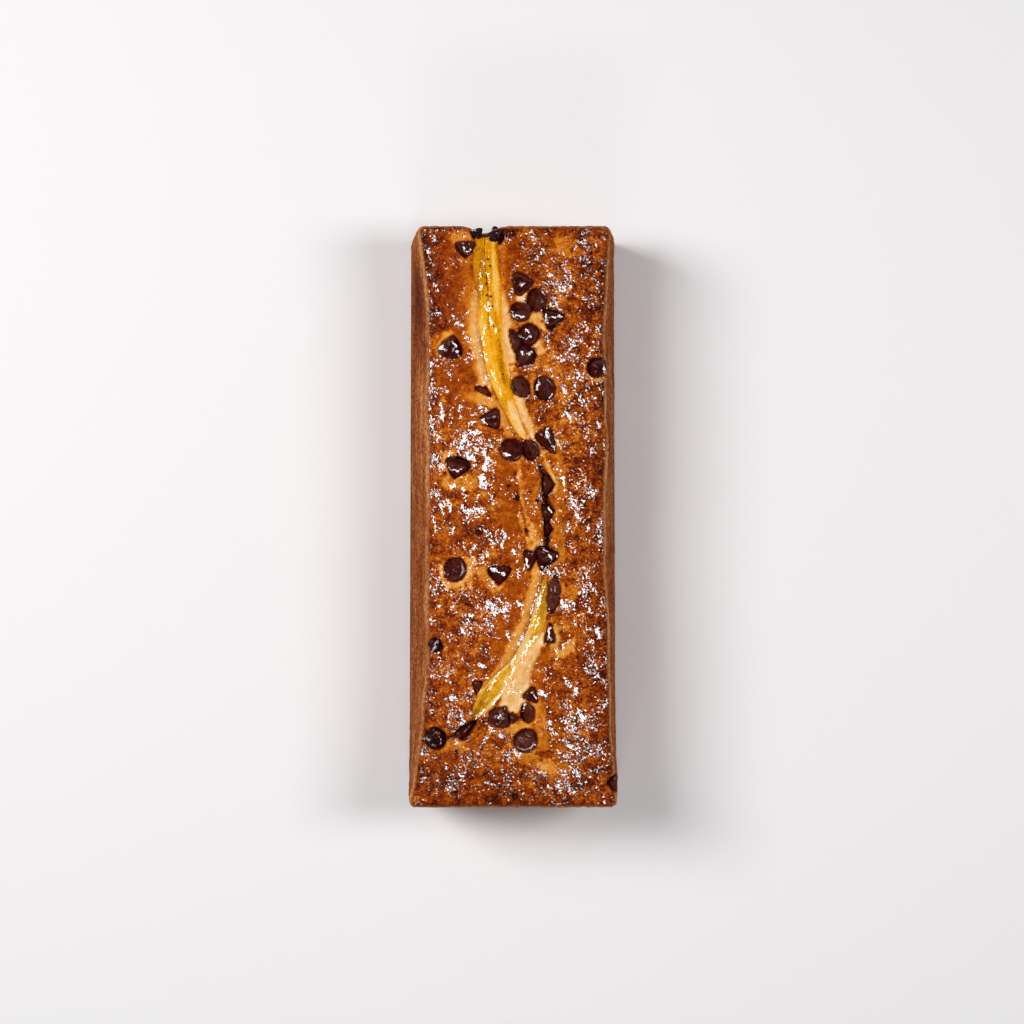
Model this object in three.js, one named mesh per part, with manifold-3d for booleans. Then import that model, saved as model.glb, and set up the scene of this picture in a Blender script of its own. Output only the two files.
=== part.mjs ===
// A banana loaf cake: one long block of cake with a domed, split crust, two strips of
// baked banana lying in the split, and chocolate chips sunk into the top.
// Millimetres, +Z up, +Y along the loaf. The origin is the centre of the flat base.
import * as THREE from "three";
import { ConvexGeometry } from "three/addons/geometries/ConvexGeometry.js";
import { mergeVertices } from "three/addons/utils/BufferGeometryUtils.js";
import Module from "manifold-3d";

// ---- Driving dimensions ----
const loaf = {
  length: 234, // at the crust, end to end
  baseLength: 230.5,
  baseHalfWidth: { far: 42.55, near: 43.3 }, // far is the +Y end
  edgeHeight: 57.5,
  domeHeight: 6.5, // of the crust's middle over its edges
  shoulder: 3.2, // radius of the crust's rolled edge
  cornerRadius: 4.5,
};
// The crust's half-width on each side: at its waist, where it has shrunk, and at the corners,
// which keep the shape of the tin, with the power by which it widens towards each.
const sides = {
  left: { waist: 34.1, far: 38.4, farPower: 6, near: 42, nearPower: 3.7 },
  right: { waist: 37.4, far: 39.8, farPower: 6, near: 42.2, nearPower: 1.8 },
};
// The far end gives way where the banana comes out of it.
const notch = { x: -11.5, width: 5, depth: 2.8 };
const mesh = { across: 20, along: 56, wallRows: 5, clustering: 1.35 };
const gap = 0.32; // between a piece and the cake that it is sunk in
const openAbove = 14; // how far a socket's cutter reaches up, past the crust

// Spines in plan: x, y and half-width of what lies there, from one end to the other.
const upperBanana = {
  spine: [
    [-10.6, 112.3, 4.4], [-10.5, 102, 5.6], [-9.2, 91, 5.3], [-8.8, 77, 5.0], [-6.7, 62.4, 4.9],
    [-5, 55.2, 4.4], [-2.8, 48.4, 3.6], [-0.4, 41.2, 2.7], [3, 34, 1.7], [5.2, 31, 0.7],
  ],
  depth: 5.5,
  recess: 0.9,
  crown: 1.5,
  stations: 20,
};
const lowerBanana = {
  spine: [
    [13.3, -23.2, 0.8], [11.7, -33.2, 2.5], [10.3, -41.2, 3.4], [7.6, -47.6, 2.9], [4.2, -52.6, 2.2],
    [0.9, -57.6, 2.0], [-2.2, -62.3, 3.0], [-5.8, -67, 4.0], [-9.8, -72, 4.1], [-13.2, -77, 3.0],
    [-15.4, -80.4, 0.9],
  ],
  depth: 5,
  recess: 1.4,
  crown: 1.1,
  stations: 20,
};
const splits = [
  { spine: [[7.6, 22.5, 0.5], [11.2, 20, 1.0], [12.6, 13, 1.5], [13.2, 5, 1.7], [13.6, -6, 1.6],
    [13.6, -12, 1.0], [13.3, -16, 0.5]], depth: 6, recess: 0.5, stations: 14 },
  { spine: [[-16.4, -82, 0.7], [-19.6, -85.6, 1.4], [-24, -88.4, 1.1], [-27.2, -89.4, 0.5]],
    depth: 4.5, recess: 0.5, stations: 8 },
];
// The tongue of crust between the banana's two ends, which has lifted on its right side.
const tongue = { x: 8.2, y: 3, halfWidth: 5.6, halfLength: 21, height: 1.5 };
const hollows = [
  { x: 21.4, y: -51, radius: 3.4, depth: 1.6 },
  { x: 1.8, y: 7.4, radius: 2, depth: 1.2 },
  { x: 5.4, y: -5.6, radius: 2, depth: 1.2 },
  { x: 13, y: -95, radius: 4, depth: 1.1 },
];

// Chips: x, y, diameter, length from base to tip, lean of the tip from upright, heading of the
// lean, height over the crust. A lean of 0 stands tip up, 90 lies on its side and 180 shows the
// flat base.
const chipSizes = { baseRound: 0.1, sides: 8 };
const chips = [
  [-18.8, 107, 8.8, 6.6, 82, -90, 1.6], [-14.6, 113.6, 5.6, 4.6, 60, 150, 0.3],
  [-6.4, 112.7, 7.4, 5, 35, 200, 0.5], [4.4, 93.2, 10, 7.8, 74, 8, 3.0],
  [9.6, 86.6, 10, 7.4, 138, -8, 2.4], [3.4, 82, 8.8, 6.4, 148, -90, 2.0],
  [16.8, 79.2, 9.4, 8.6, 84, 12, 1.8], [6.6, 72.8, 9.2, 7, 24, 150, 3.2],
  [5.2, 64.6, 8.8, 6.8, 22, 20, 3.1], [1.8, 70.4, 10, 6, 92, 13, 2.0],
  [-25, 68, 10, 8.6, 62, 80, 2.4], [34, 59.8, 8.8, 6, 26, 130, 2.2],
  [3.2, 51.8, 9.2, 5, 140, 210, 1.2], [13, 51.2, 10.2, 6.6, 139, 21, 1.7],
  [-11.6, 50.2, 7.6, 3.4, 92, 62, 0.5], [-9, 39.2, 8.6, 7.6, 82, 178, 1.9],
  [13.2, 30.4, 7.6, 10.6, 82, -57, 1.8], [-0.4, 26.8, 9.4, 6, 162, 260, 1.8],
  [7.2, 26.6, 8.6, 5.6, 140, 20, 1.3], [-21.8, 19.8, 10.4, 8, 112, -103, 1.3],
  [14.6, 12.8, 10, 5.2, 90, 0, 0.3], [14.3, 1.8, 8, 4.6, 80, 10, 0.3],
  [14.7, -4.8, 7, 3.4, 90, 0, -0.2], [13.8, -16.6, 10, 9, 100, -107, 2.6],
  [7.4, -17.6, 5.8, 8, 85, -95, 1.6], [-23, -21.2, 10.4, 6.6, 150, -20, 1.7],
  [-5.4, -23.6, 9.8, 7.6, 84, -88, 1.5], [16.6, -26.8, 5.6, 8.4, 90, 85, 1.2],
  [15.8, -34.9, 5.2, 7.6, 90, -88, 0.8], [14.8, -46.4, 4.8, 8.2, 88, 88, 0.6],
  [-31, -51.6, 5.8, 4.6, 20, 0, 0.6], [-14, -68.8, 4.2, 6.2, 90, -90, -0.2],
  [7, -71.2, 6.4, 6.6, 94, -48, 1.4], [6.2, -78.4, 8.4, 5, 128, 10, 1.4],
  [-5, -80, 9.8, 8, 58, 62, 2.4], [5.2, -89.4, 10.2, 6, 152, -50, 1.4],
  [-18.6, -85.4, 5.2, 10.6, 92, 42, -0.4], [-30.8, -89, 9.2, 6.4, 24, 20, 1.2],
  [40, -107, 7.6, 4.4, 90, 180, 0.3], [0.5, -80.6, 4, 4.4, 88, -30, 1.2],
];

const looks = {
  crust: { color: 0x9c4d14, roughness: 0.42, metalness: 0 },
  banana: { color: 0xdd9a1e, roughness: 0.3, metalness: 0 },
  chocolate: { color: 0x33130c, roughness: 0.3, metalness: 0 },
};

const wasm = await Module();
wasm.setup();
const radians = THREE.MathUtils.degToRad;
const smooth = THREE.MathUtils.smoothstep;
const bump = (distance, width) => Math.exp(-((distance / width) ** 2));

// ---- Form of the crust ----

// A side's distance from the middle at y, before its ripple.
function sideAt(side, y) {
  const share = Math.abs(y) / (loaf.length / 2);
  const [corner, power] = y > 0 ? [side.far, side.farPower] : [side.near, side.nearPower];
  return side.waist + (corner - side.waist) * share ** power;
}

function crustEdges(y) {
  const fade = 1 - Math.abs(y / (loaf.length / 2)) ** 7;
  const rippleLeft = 0.35 * Math.sin(y / 11 + 0.4) + 0.2 * Math.sin(y / 4.6 + 1.3);
  const rippleRight = 0.4 * Math.sin(y / 13 + 2.1) + 0.2 * Math.sin(y / 5.2);
  return [rippleLeft * fade - sideAt(sides.left, y), sideAt(sides.right, y) - rippleRight * fade];
}

// Distance of an end of the crust from the middle, at x.
function endAt(x, far) {
  return loaf.length / 2 - (far ? notch.depth * bump(x - notch.x, notch.width) : 0);
}

// How far (x, y) lies inside the crust's outline, whose corners are round.
function insetFromEdge(x, y) {
  const [left, right] = crustEdges(y);
  const fromSide = Math.min(x - left, right - x);
  const fromEnd = endAt(x, y > 0) - Math.abs(y);
  const [a, b] = [loaf.cornerRadius - fromSide, loaf.cornerRadius - fromEnd];
  return a > 0 && b > 0 ? loaf.cornerRadius - Math.hypot(a, b) : Math.min(fromSide, fromEnd);
}

// Gentle swells of the crust, a sum of a few slow waves.
function swell(x, y) {
  const long = 0.7 * Math.sin(y / 17 + 0.6) * Math.cos(x / 13 - 0.4);
  const middle = 0.45 * Math.sin(x / 6.1 + y / 11.3) + 0.35 * Math.sin(y / 7.2 - x / 9.4 + 2);
  const short = 0.22 * Math.sin(x / 2.9 + 1.1) * Math.sin(y / 3.3);
  return long + middle + short;
}

const spineOf = (strip) =>
  new THREE.CatmullRomCurve3(strip.spine.map((p) => new THREE.Vector3(...p)), false, "centripetal");

// Distance in plan from (x, y) to the nearest border of a strip; negative inside it.
function distanceToStrip(strip, x, y) {
  strip.samples ??= spineOf(strip).getPoints(60);
  return Math.min(...strip.samples.map((p) => Math.hypot(p.x - x, p.y - y) - p.z));
}

// Height of the crust before anything is sunk into it.
function crustHeight(x, y) {
  const [left, right] = crustEdges(y);
  const across = (2 * x - left - right) / (right - left);
  const along = (2 * y) / loaf.length;
  const dome = loaf.domeHeight * (1 - Math.abs(across) ** 2.4) * (1 - Math.abs(along) ** 5);
  let z = loaf.edgeHeight + dome + swell(x, y) * (1 - across ** 4) * (1 - along ** 8);
  for (const strip of [upperBanana, lowerBanana, ...splits])
    z += 1.1 * bump(distanceToStrip(strip, x, y) - 2.2, 2.6);
  const beside = Math.abs(x - tongue.x) / tongue.halfWidth;
  const beyond = Math.abs(y - tongue.y) / tongue.halfLength;
  z += tongue.height * (1 - smooth(beside, 0.6, 1.15)) * (1 - smooth(beyond, 0.7, 1.1));
  for (const hollow of hollows)
    z -= hollow.depth * bump(Math.hypot(x - hollow.x, y - hollow.y), hollow.radius);
  const rolled = THREE.MathUtils.clamp(1 - insetFromEdge(x, y) / loaf.shoulder, 0, 1);
  return z - loaf.shoulder * (1 - Math.sqrt(1 - rolled * rolled));
}

// ---- Solids ----

const solidOf = (positions, triangles) =>
  new wasm.Manifold(
    new wasm.Mesh({
      numProp: 3,
      vertProperties: new Float32Array(positions.flat()),
      triVerts: new Uint32Array(triangles.flat()),
    }),
  );

function solidOfGeometry(geometry) {
  const bare = new THREE.BufferGeometry().setAttribute("position", geometry.getAttribute("position"));
  if (geometry.index) bare.setIndex(geometry.index);
  const merged = mergeVertices(bare, 1e-4);
  const place = merged.getAttribute("position");
  const positions = [];
  const triangles = [];
  for (let i = 0; i < place.count; i++) positions.push([place.getX(i), place.getY(i), place.getZ(i)]);
  for (let i = 0; i < merged.index.count; i += 3) {
    const [a, b, c] = [0, 1, 2].map((k) => merged.index.getX(i + k));
    if (a !== b && b !== c && c !== a) triangles.push([a, b, c]); // at a pole two corners are one
  }
  return solidOf(positions, triangles);
}

function geometryOf(solid) {
  const made = solid.getMesh();
  const geometry = new THREE.BufferGeometry();
  geometry.setAttribute("position", new THREE.BufferAttribute(made.vertProperties, 3));
  geometry.setIndex(new THREE.BufferAttribute(made.triVerts, 1));
  geometry.computeVertexNormals();
  return geometry;
}

const largestOf = (solid) =>
  solid.decompose().reduce((best, piece) => (piece.volume() > best.volume() ? piece : best));

// A point of a rounded rectangle at shares u and v of its half-sizes, from -1 to 1. The square at
// each corner is bent into a quarter disc.
function roundedPoint(u, v, left, right, length) {
  const [x, y] = [(left + right) / 2 + (u * (right - left)) / 2, (v * length) / 2];
  const { cornerRadius: radius } = loaf;
  const a = 1 - Math.min(x - left, right - x) / radius;
  const b = 1 - (length / 2 - Math.abs(y)) / radius;
  if (a <= 0 || b <= 0) return [x, y];
  const inX = radius * a * (1 - Math.sqrt(1 - (b * b) / 2));
  const inY = radius * b * (1 - Math.sqrt(1 - (a * a) / 2));
  return [x - Math.sign(u) * inX, y - Math.sign(v) * inY];
}

// The whole block before anything is cut: the crust is a grid, the walls are rows that carry the
// grid's border down to the base's outline, and the base closes them.
function cakeBlock() {
  const { across, along, wallRows, clustering } = mesh;
  const positions = [];
  const shares = [];
  const triangles = [];
  const spread = (share) => Math.sign(share) * (1 - (1 - Math.abs(share)) ** clustering);
  for (let j = 0; j <= along; j++)
    for (let i = 0; i <= across; i++) {
      const [u, v] = [spread((2 * i) / across - 1), spread((2 * j) / along - 1)];
      const [x, y] = roundedPoint(u, v, ...crustEdges((v * loaf.length) / 2), loaf.length);
      const atEnd = (y * endAt(x, v > 0)) / (loaf.length / 2);
      shares.push([u, v]);
      positions.push([x, atEnd, crustHeight(x, atEnd)]);
    }
  const at = (i, j) => j * (across + 1) + i;
  for (let j = 0; j < along; j++)
    for (let i = 0; i < across; i++) {
      triangles.push([at(i, j), at(i + 1, j), at(i + 1, j + 1)]);
      triangles.push([at(i, j), at(i + 1, j + 1), at(i, j + 1)]);
    }
  const border = [];
  for (let i = 0; i < across; i++) border.push(at(i, 0));
  for (let j = 0; j < along; j++) border.push(at(across, j));
  for (let i = across; i > 0; i--) border.push(at(i, along));
  for (let j = along; j > 0; j--) border.push(at(0, j));
  let upper = border;
  for (let row = 1; row <= wallRows; row++) {
    const height = 1 - row / wallRows;
    const lower = border.map(
      (index) => positions.push(wallPoint(positions[index], shares[index], height)) - 1,
    );
    border.forEach((_, k) => {
      const next = (k + 1) % border.length;
      triangles.push([upper[k], lower[k], lower[next]], [upper[k], lower[next], upper[next]]);
    });
    upper = lower;
  }
  const middle = positions.push([0, 0, 0]) - 1;
  upper.forEach((index, k) => triangles.push([middle, upper[(k + 1) % upper.length], index]));
  return solidOf(positions, triangles);
}

// A point of the wall, at a share of the height of the crust's border above it.
function wallPoint([x, y, z], [u, v], height) {
  const { far, near } = loaf.baseHalfWidth;
  const half = (far + near + v * (far - near)) / 2;
  const [baseX, baseY] = roundedPoint(u, v, -half, half, loaf.baseLength);
  const lean = height ** 1.25;
  const pleat = 0.3 * Math.sin(y / 12 + height * 3) * Math.sin(Math.PI * height);
  return [baseX + (x - baseX) * lean - Math.sign(x) * pleat, baseY + (y - baseY) * lean, z * height];
}

// A closed strip along a spine. section(halfWidth) gives its outline as [sideways, up] points,
// anticlockwise, and the strip's own level is a little under the crust's.
function stripSolid(strip, section) {
  const curve = spineOf(strip);
  const positions = [];
  const triangles = [];
  let points = 0;
  for (let s = 0; s <= strip.stations; s++) {
    const t = s / strip.stations;
    const at = curve.getPoint(t);
    const way = curve.getTangent(t).setZ(0).normalize();
    const level = crustHeight(at.x, at.y) - strip.recess;
    const outline = section(at.z);
    points = outline.length;
    for (const [side, up] of outline)
      positions.push([at.x + way.y * side, at.y - way.x * side, level + up]);
  }
  for (let s = 0; s < strip.stations; s++)
    for (let k = 0; k < points; k++) {
      const [a, b] = [s * points + k, s * points + ((k + 1) % points)];
      triangles.push([a, b, b + points], [a, b + points, a + points]);
    }
  const end = strip.stations * points;
  for (let k = 1; k < points - 1; k++) triangles.push([0, k + 1, k], [end, end + k, end + k + 1]);
  const solid = solidOf(positions, triangles);
  return solid.volume() > 0 ? solid : solidOf(positions, triangles.map(([a, b, c]) => [a, c, b]));
}

// Half a banana's outline: a round belly below, two soft ridges with a seam between them above.
const bananaSection = (strip) => (half) => {
  const outline = [];
  const steps = 8;
  const share = Math.min(1, half / 4);
  for (let k = 0; k < steps; k++) {
    const turn = (Math.PI * k) / steps;
    const ridges = strip.crown * share * (Math.sin(turn) ** 0.8 - 0.32 * bump(Math.cos(turn), 0.22));
    outline.push([half * Math.cos(turn), ridges]);
  }
  for (let k = 0; k < steps; k++) {
    const turn = Math.PI * (1 + k / steps);
    outline.push([half * Math.cos(turn), strip.depth * share * Math.sin(turn)]);
  }
  return outline;
};

// The same belly a gap larger, with straight sides that reach up through the crust.
const channelSection = (strip, clearance) => (half) => {
  const outline = [];
  const steps = 8;
  const share = Math.min(1, half / 4);
  const wide = half + clearance;
  outline.push([wide, openAbove]);
  outline.push([-wide, openAbove]);
  for (let k = 0; k <= steps; k++) {
    const turn = Math.PI * (1 + k / steps);
    outline.push([wide * Math.cos(turn), (strip.depth * share + clearance) * Math.sin(turn)]);
  }
  return outline;
};

// A split's outline: steep sides that meet in a narrow bottom.
const splitSection = (strip) => (half) => {
  const depth = strip.depth * Math.min(1, half / 1.2);
  return [[half * 1.25, openAbove], [-half * 1.25, openAbove], [-half, 0], [-half * 0.35, -depth],
    [half * 0.35, -depth], [half, 0]];
};

// A chip stands on the axis with its base at z = 0: a rounded disc that draws in to a blunt tip.
function chipGeometry(diameter, length) {
  const radius = diameter / 2;
  const round = diameter * chipSizes.baseRound;
  const profile = [
    [0, 0], [radius - round, 0], [radius, round], [radius * 0.84, length * 0.42],
    [radius * 0.4, length * 0.78], [0, length],
  ].map((p) => new THREE.Vector2(...p));
  return new THREE.LatheGeometry(profile, chipSizes.sides).rotateX(Math.PI / 2);
}

// Turns a chip and sets it into the crust at its place.
function placedChip([x, y, diameter, length, lean, heading, proud]) {
  const geometry = chipGeometry(diameter, length);
  const direction = new THREE.Vector3(
    Math.sin(radians(lean)) * Math.cos(radians(heading)),
    Math.sin(radians(lean)) * Math.sin(radians(heading)),
    Math.cos(radians(lean)),
  );
  const turn = new THREE.Quaternion().setFromUnitVectors(new THREE.Vector3(0, 0, 1), direction);
  geometry.applyQuaternion(turn);
  geometry.computeBoundingBox();
  const box = geometry.boundingBox;
  const middle = box.getCenter(new THREE.Vector3());
  const top = crustHeight(x, y) + proud;
  geometry.translate(x - middle.x, y - middle.y, top - box.max.z);
  return geometry;
}

// A chip's points moved away from its middle by the gap, as a convex solid; raised also reaches
// straight up, so that no crust is left over the chip.
function grownChip(geometry, raised) {
  geometry.computeBoundingBox();
  const middle = geometry.boundingBox.getCenter(new THREE.Vector3());
  const reach = geometry.boundingBox.getSize(new THREE.Vector3()).length() / 4;
  const points = [];
  const position = geometry.getAttribute("position");
  for (let i = 0; i < position.count; i++) {
    const point = new THREE.Vector3().fromBufferAttribute(position, i);
    point.sub(middle).multiplyScalar(1 + gap / reach).add(middle);
    points.push(point);
    if (raised) points.push(point.clone().setZ(point.z + openAbove));
  }
  return solidOfGeometry(new ConvexGeometry(points));
}

// ---- Assembly ----

const placed = chips.map(placedChip);
const bananaSolid = (strip) => stripSolid(strip, bananaSection(strip));
const bananaPieces = { banana_upper: bananaSolid(upperBanana), banana_lower: bananaSolid(lowerBanana) };

let cakeSolid = cakeBlock();
for (const strip of [upperBanana, lowerBanana])
  cakeSolid = cakeSolid.subtract(stripSolid(strip, channelSection(strip, gap)));
for (const split of splits) cakeSolid = cakeSolid.subtract(stripSolid(split, splitSection(split)));
for (const geometry of placed) cakeSolid = cakeSolid.subtract(grownChip(geometry, true));

const parts = new THREE.Group();
const materialOf = (name) => new THREE.MeshStandardMaterial(looks[name]);

function addPiece(name, solid, look) {
  const piece = new THREE.Mesh(geometryOf(largestOf(solid)), materialOf(look));
  piece.name = name;
  parts.add(piece);
}

addPiece("cake", cakeSolid, "crust");
for (const [name, solid] of Object.entries(bananaPieces)) {
  const cut = placed.reduce((rest, geometry) => rest.subtract(grownChip(geometry, false)), solid);
  addPiece(name, cut, "banana");
}
placed.forEach((geometry, k) => {
  const before = placed.slice(0, k);
  const cut = before.reduce(
    (rest, other) => rest.subtract(grownChip(other, false)),
    solidOfGeometry(geometry),
  );
  addPiece(`chip_${String(k + 1).padStart(2, "0")}`, cut, "chocolate");
});

export default parts;
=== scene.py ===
# Looks of a banana loaf cake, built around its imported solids: a split, sugar-glazed crust over
# matte walls, two strips of baked banana, and the chocolate chips that are sunk in the top.
# Lengths here are millimetres, and become metres when a mesh is made.
import time

import bpy
import numpy as np
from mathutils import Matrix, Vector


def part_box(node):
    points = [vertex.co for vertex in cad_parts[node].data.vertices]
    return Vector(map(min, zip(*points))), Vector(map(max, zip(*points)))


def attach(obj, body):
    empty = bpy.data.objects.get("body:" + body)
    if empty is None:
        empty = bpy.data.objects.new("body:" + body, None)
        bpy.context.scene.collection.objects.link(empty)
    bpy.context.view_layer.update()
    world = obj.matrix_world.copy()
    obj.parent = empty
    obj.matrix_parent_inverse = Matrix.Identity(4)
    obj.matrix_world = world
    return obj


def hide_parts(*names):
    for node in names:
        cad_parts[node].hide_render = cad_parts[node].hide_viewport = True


started = time.perf_counter()
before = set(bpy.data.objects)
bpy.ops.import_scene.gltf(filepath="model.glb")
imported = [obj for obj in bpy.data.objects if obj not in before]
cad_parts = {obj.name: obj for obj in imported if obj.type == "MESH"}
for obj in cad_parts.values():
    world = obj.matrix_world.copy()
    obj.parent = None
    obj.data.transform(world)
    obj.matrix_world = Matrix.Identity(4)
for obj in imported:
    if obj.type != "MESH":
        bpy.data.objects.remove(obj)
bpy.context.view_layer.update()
cakeLow, cakeHigh = (np.array(corner) * 1000 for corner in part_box("cake"))


def report(stage):
    print(f"{stage}: {time.perf_counter() - started:.1f} s")


def bell(distance, width):  # 1 at no distance, nearly 0 at twice the width
    return np.exp(-((distance / width) ** 2))


def ease(value, low, high):  # 0 up to low, 1 from high on, a smooth step between
    share = np.clip((value - low) / (high - low), 0, 1)
    return share * share * (3 - 2 * share)


def unevenness(points, size, seed):
    # Gradient noise: a random slope at each corner of a lattice of that spacing, blended by a
    # quintic ease. It runs from about -0.6 to 0.6. size is one length, or one for each axis.
    slopes = np.random.default_rng(seed).normal(size=(4096, 3))
    slopes /= np.linalg.norm(slopes, axis=1)[:, None]
    scaled = points / np.array(size, float)
    cell = np.floor(scaled).astype(np.int64)
    inside = scaled - cell
    blend = inside ** 3 * (inside * (inside * 6 - 15) + 10)
    total = np.zeros(len(points))
    for corner in np.ndindex(2, 2, 2):
        at = cell + corner
        key = (at[:, 0] * 73856093 ^ at[:, 1] * 19349663 ^ at[:, 2] * 83492791) & 4095
        weight = np.prod(np.where(np.array(corner, bool), blend, 1 - blend), axis=1)
        total += weight * np.einsum("ij,ij->i", slopes[key], inside - corner)
    return total


def layered(points, noises):  # noises added up, each given by its height, size and seed
    return sum(tall * unevenness(points, size, seed) for tall, size, seed in noises)


def splineThrough(points, count):
    # Centripetal Catmull-Rom curve: cubic pieces whose speed follows the root of the spacing.
    points = np.array(points, float)
    knots = np.vstack([2 * points[0] - points[1], points, 2 * points[-1] - points[-2]])
    place = np.linspace(0, len(points) - 1, count)
    piece = np.minimum(place.astype(int), len(points) - 2)
    share = (place - piece)[:, None]
    a, b, c, d = (knots[piece + k] for k in range(4))
    spacing = [np.sqrt(np.linalg.norm(q - p, axis=1))[:, None] for p, q in ((a, b), (b, c), (c, d))]
    before, own, after = spacing
    leave = own * ((b - a) / before - (c - a) / (before + own) + (c - b) / own)
    arrive = own * ((c - b) / own - (d - b) / (own + after) + (d - c) / after)
    bend = 3 * (c - b) - 2 * leave - arrive
    twist = 2 * (b - c) + leave + arrive
    return b + share * (leave + share * (bend + share * twist))


def distanceToStrip(spine, x, y, reach=16, steps=120):
    # Distance in plan to the nearest border of a strip, negative inside it, and far off a
    # large number. A spine's points are x, y and half the width there.
    along = splineThrough(spine, steps)
    nearest = np.full(x.shape, 1e3)
    low, high = along[:, :2].min(0) - reach, along[:, :2].max(0) + reach
    near = (x > low[0]) & (x < high[0]) & (y > low[1]) & (y < high[1])
    gaps = np.hypot(x[near, None] - along[:, 0], y[near, None] - along[:, 1]) - along[:, 2]
    nearest[near] = gaps.min(1)
    return nearest


# The form of the loaf, as the solids have it.
loaf = {
    "length": cakeHigh[1] - cakeLow[1],
    "baseLength": 230.5,
    "baseHalfFar": 42.55,
    "baseHalfNear": 43.3,
    "edgeHeight": 57.5,
    "domeHeight": 6.5,
    "domePowers": (2.4, 5),
    "shoulder": 3.2,
    "cornerRadius": 2.9,
}
sides = {  # half-width at the waist and at each end's corners, with the power it widens by
    "left": {"waist": 34.1, "far": 38.4, "farPower": 6, "near": 42.0, "nearPower": 3.7},
    "right": {"waist": 37.4, "far": 39.8, "farPower": 6, "near": 42.2, "nearPower": 1.8},
}
notch = {"x": -11.5, "width": 5.0, "depth": 2.8}  # in the far end, where the banana comes out
# The strips of banana. depth is how thick one is at its middle, recess how far it lies below the
# crust, and crown how far it bulges up again. pale is its ground colour, as in the marks below,
# and flatEnd the share of the bulge that is lost towards the far end.
upperBanana = {
    "spine": [(-10.6, 112.3, 4.4), (-10.5, 102, 5.6), (-9.2, 91, 5.3), (-8.8, 77, 5),
              (-6.7, 62.4, 4.9), (-5, 55.2, 4.4), (-2.8, 48.4, 3.6), (-0.4, 41.2, 2.7), (3, 34, 1.7),
              (5.2, 31, 0.7)],
    "depth": 5.5, "recess": 0.45, "crown": 1.15, "pale": 0.05, "flatEnd": 0.7,
}
lowerBanana = {
    "spine": [(13.3, -23.2, 0.8), (11.7, -33.2, 2.5), (10.3, -41.2, 3.4), (7.6, -47.6, 2.9),
              (4.2, -52.6, 2.2), (0.9, -57.6, 2.0), (-2.2, -62.3, 3.0), (-5.8, -67, 4.0),
              (-9.8, -72, 4.1), (-13.2, -77, 3.0), (-15.4, -80.4, 0.9)],
    "depth": 5.0, "recess": 0.6, "crown": 0.9, "pale": 0.75, "flatEnd": 0,
}
splits = [  # spines of the two open ones
    [(7.6, 22.5, 0.5), (11.2, 20, 1), (12.6, 13, 1.5), (13.2, 5, 1.7), (13.6, -6, 1.6),
     (13.6, -12, 1), (13.3, -16, 0.5)],
    [(-16.4, -82, 0.7), (-19.6, -85.6, 1.4), (-24, -88.4, 1.1), (-27.2, -89.4, 0.5)],
]
lips = {"height": 1.1, "middle": 2.2, "width": 2.6}  # the crust stands up along what it holds
tongue = {"x": 8.2, "y": 3, "halfWidth": 5.6, "halfLength": 21, "height": 1.5,
          "sideFall": (0.6, 1.15), "endFall": (0.7, 1.1)}  # the falls as shares of its half-sizes
# Shallow hollows: x, y, radius and depth.
hollows = [(21.4, -51, 3.4, 1.6), (1.8, 7.4, 2, 1.2), (5.4, -5.6, 2, 1.2), (13, -95, 4, 1.1)]


def sideAt(side, y):  # the waist, plus a power of the place along that reaches the corner
    share = np.abs(y) / (loaf["length"] / 2)
    far = side["waist"] + (side["far"] - side["waist"]) * share ** side["farPower"]
    near = side["waist"] + (side["near"] - side["waist"]) * share ** side["nearPower"]
    return np.where(y > 0, far, near)


def crustEdges(y):  # the left and right borders, with a slow ripple that fades at the ends
    fade = 1 - np.abs(y / (loaf["length"] / 2)) ** 7
    rippleLeft = 0.35 * np.sin(y / 11 + 0.4) + 0.2 * np.sin(y / 4.6 + 1.3)
    rippleRight = 0.4 * np.sin(y / 13 + 2.1) + 0.2 * np.sin(y / 5.2)
    return rippleLeft * fade - sideAt(sides["left"], y), sideAt(sides["right"], y) - rippleRight * fade


def endAt(x, y):  # distance of the nearer end of the crust from the middle
    return loaf["length"] / 2 - np.where(y > 0, notch["depth"] * bell(x - notch["x"], notch["width"]), 0)


def insetFromEdge(x, y):  # distance inwards from the outline, whose corners are round
    left, right = crustEdges(y)
    fromSide = np.minimum(x - left, right - x)
    fromEnd = endAt(x, y) - np.abs(y)
    radius = loaf["cornerRadius"]
    inCorner = (fromSide < radius) & (fromEnd < radius)
    fromArc = radius - np.hypot(radius - fromSide, radius - fromEnd)
    return np.where(inCorner, fromArc, np.minimum(fromSide, fromEnd))


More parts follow.
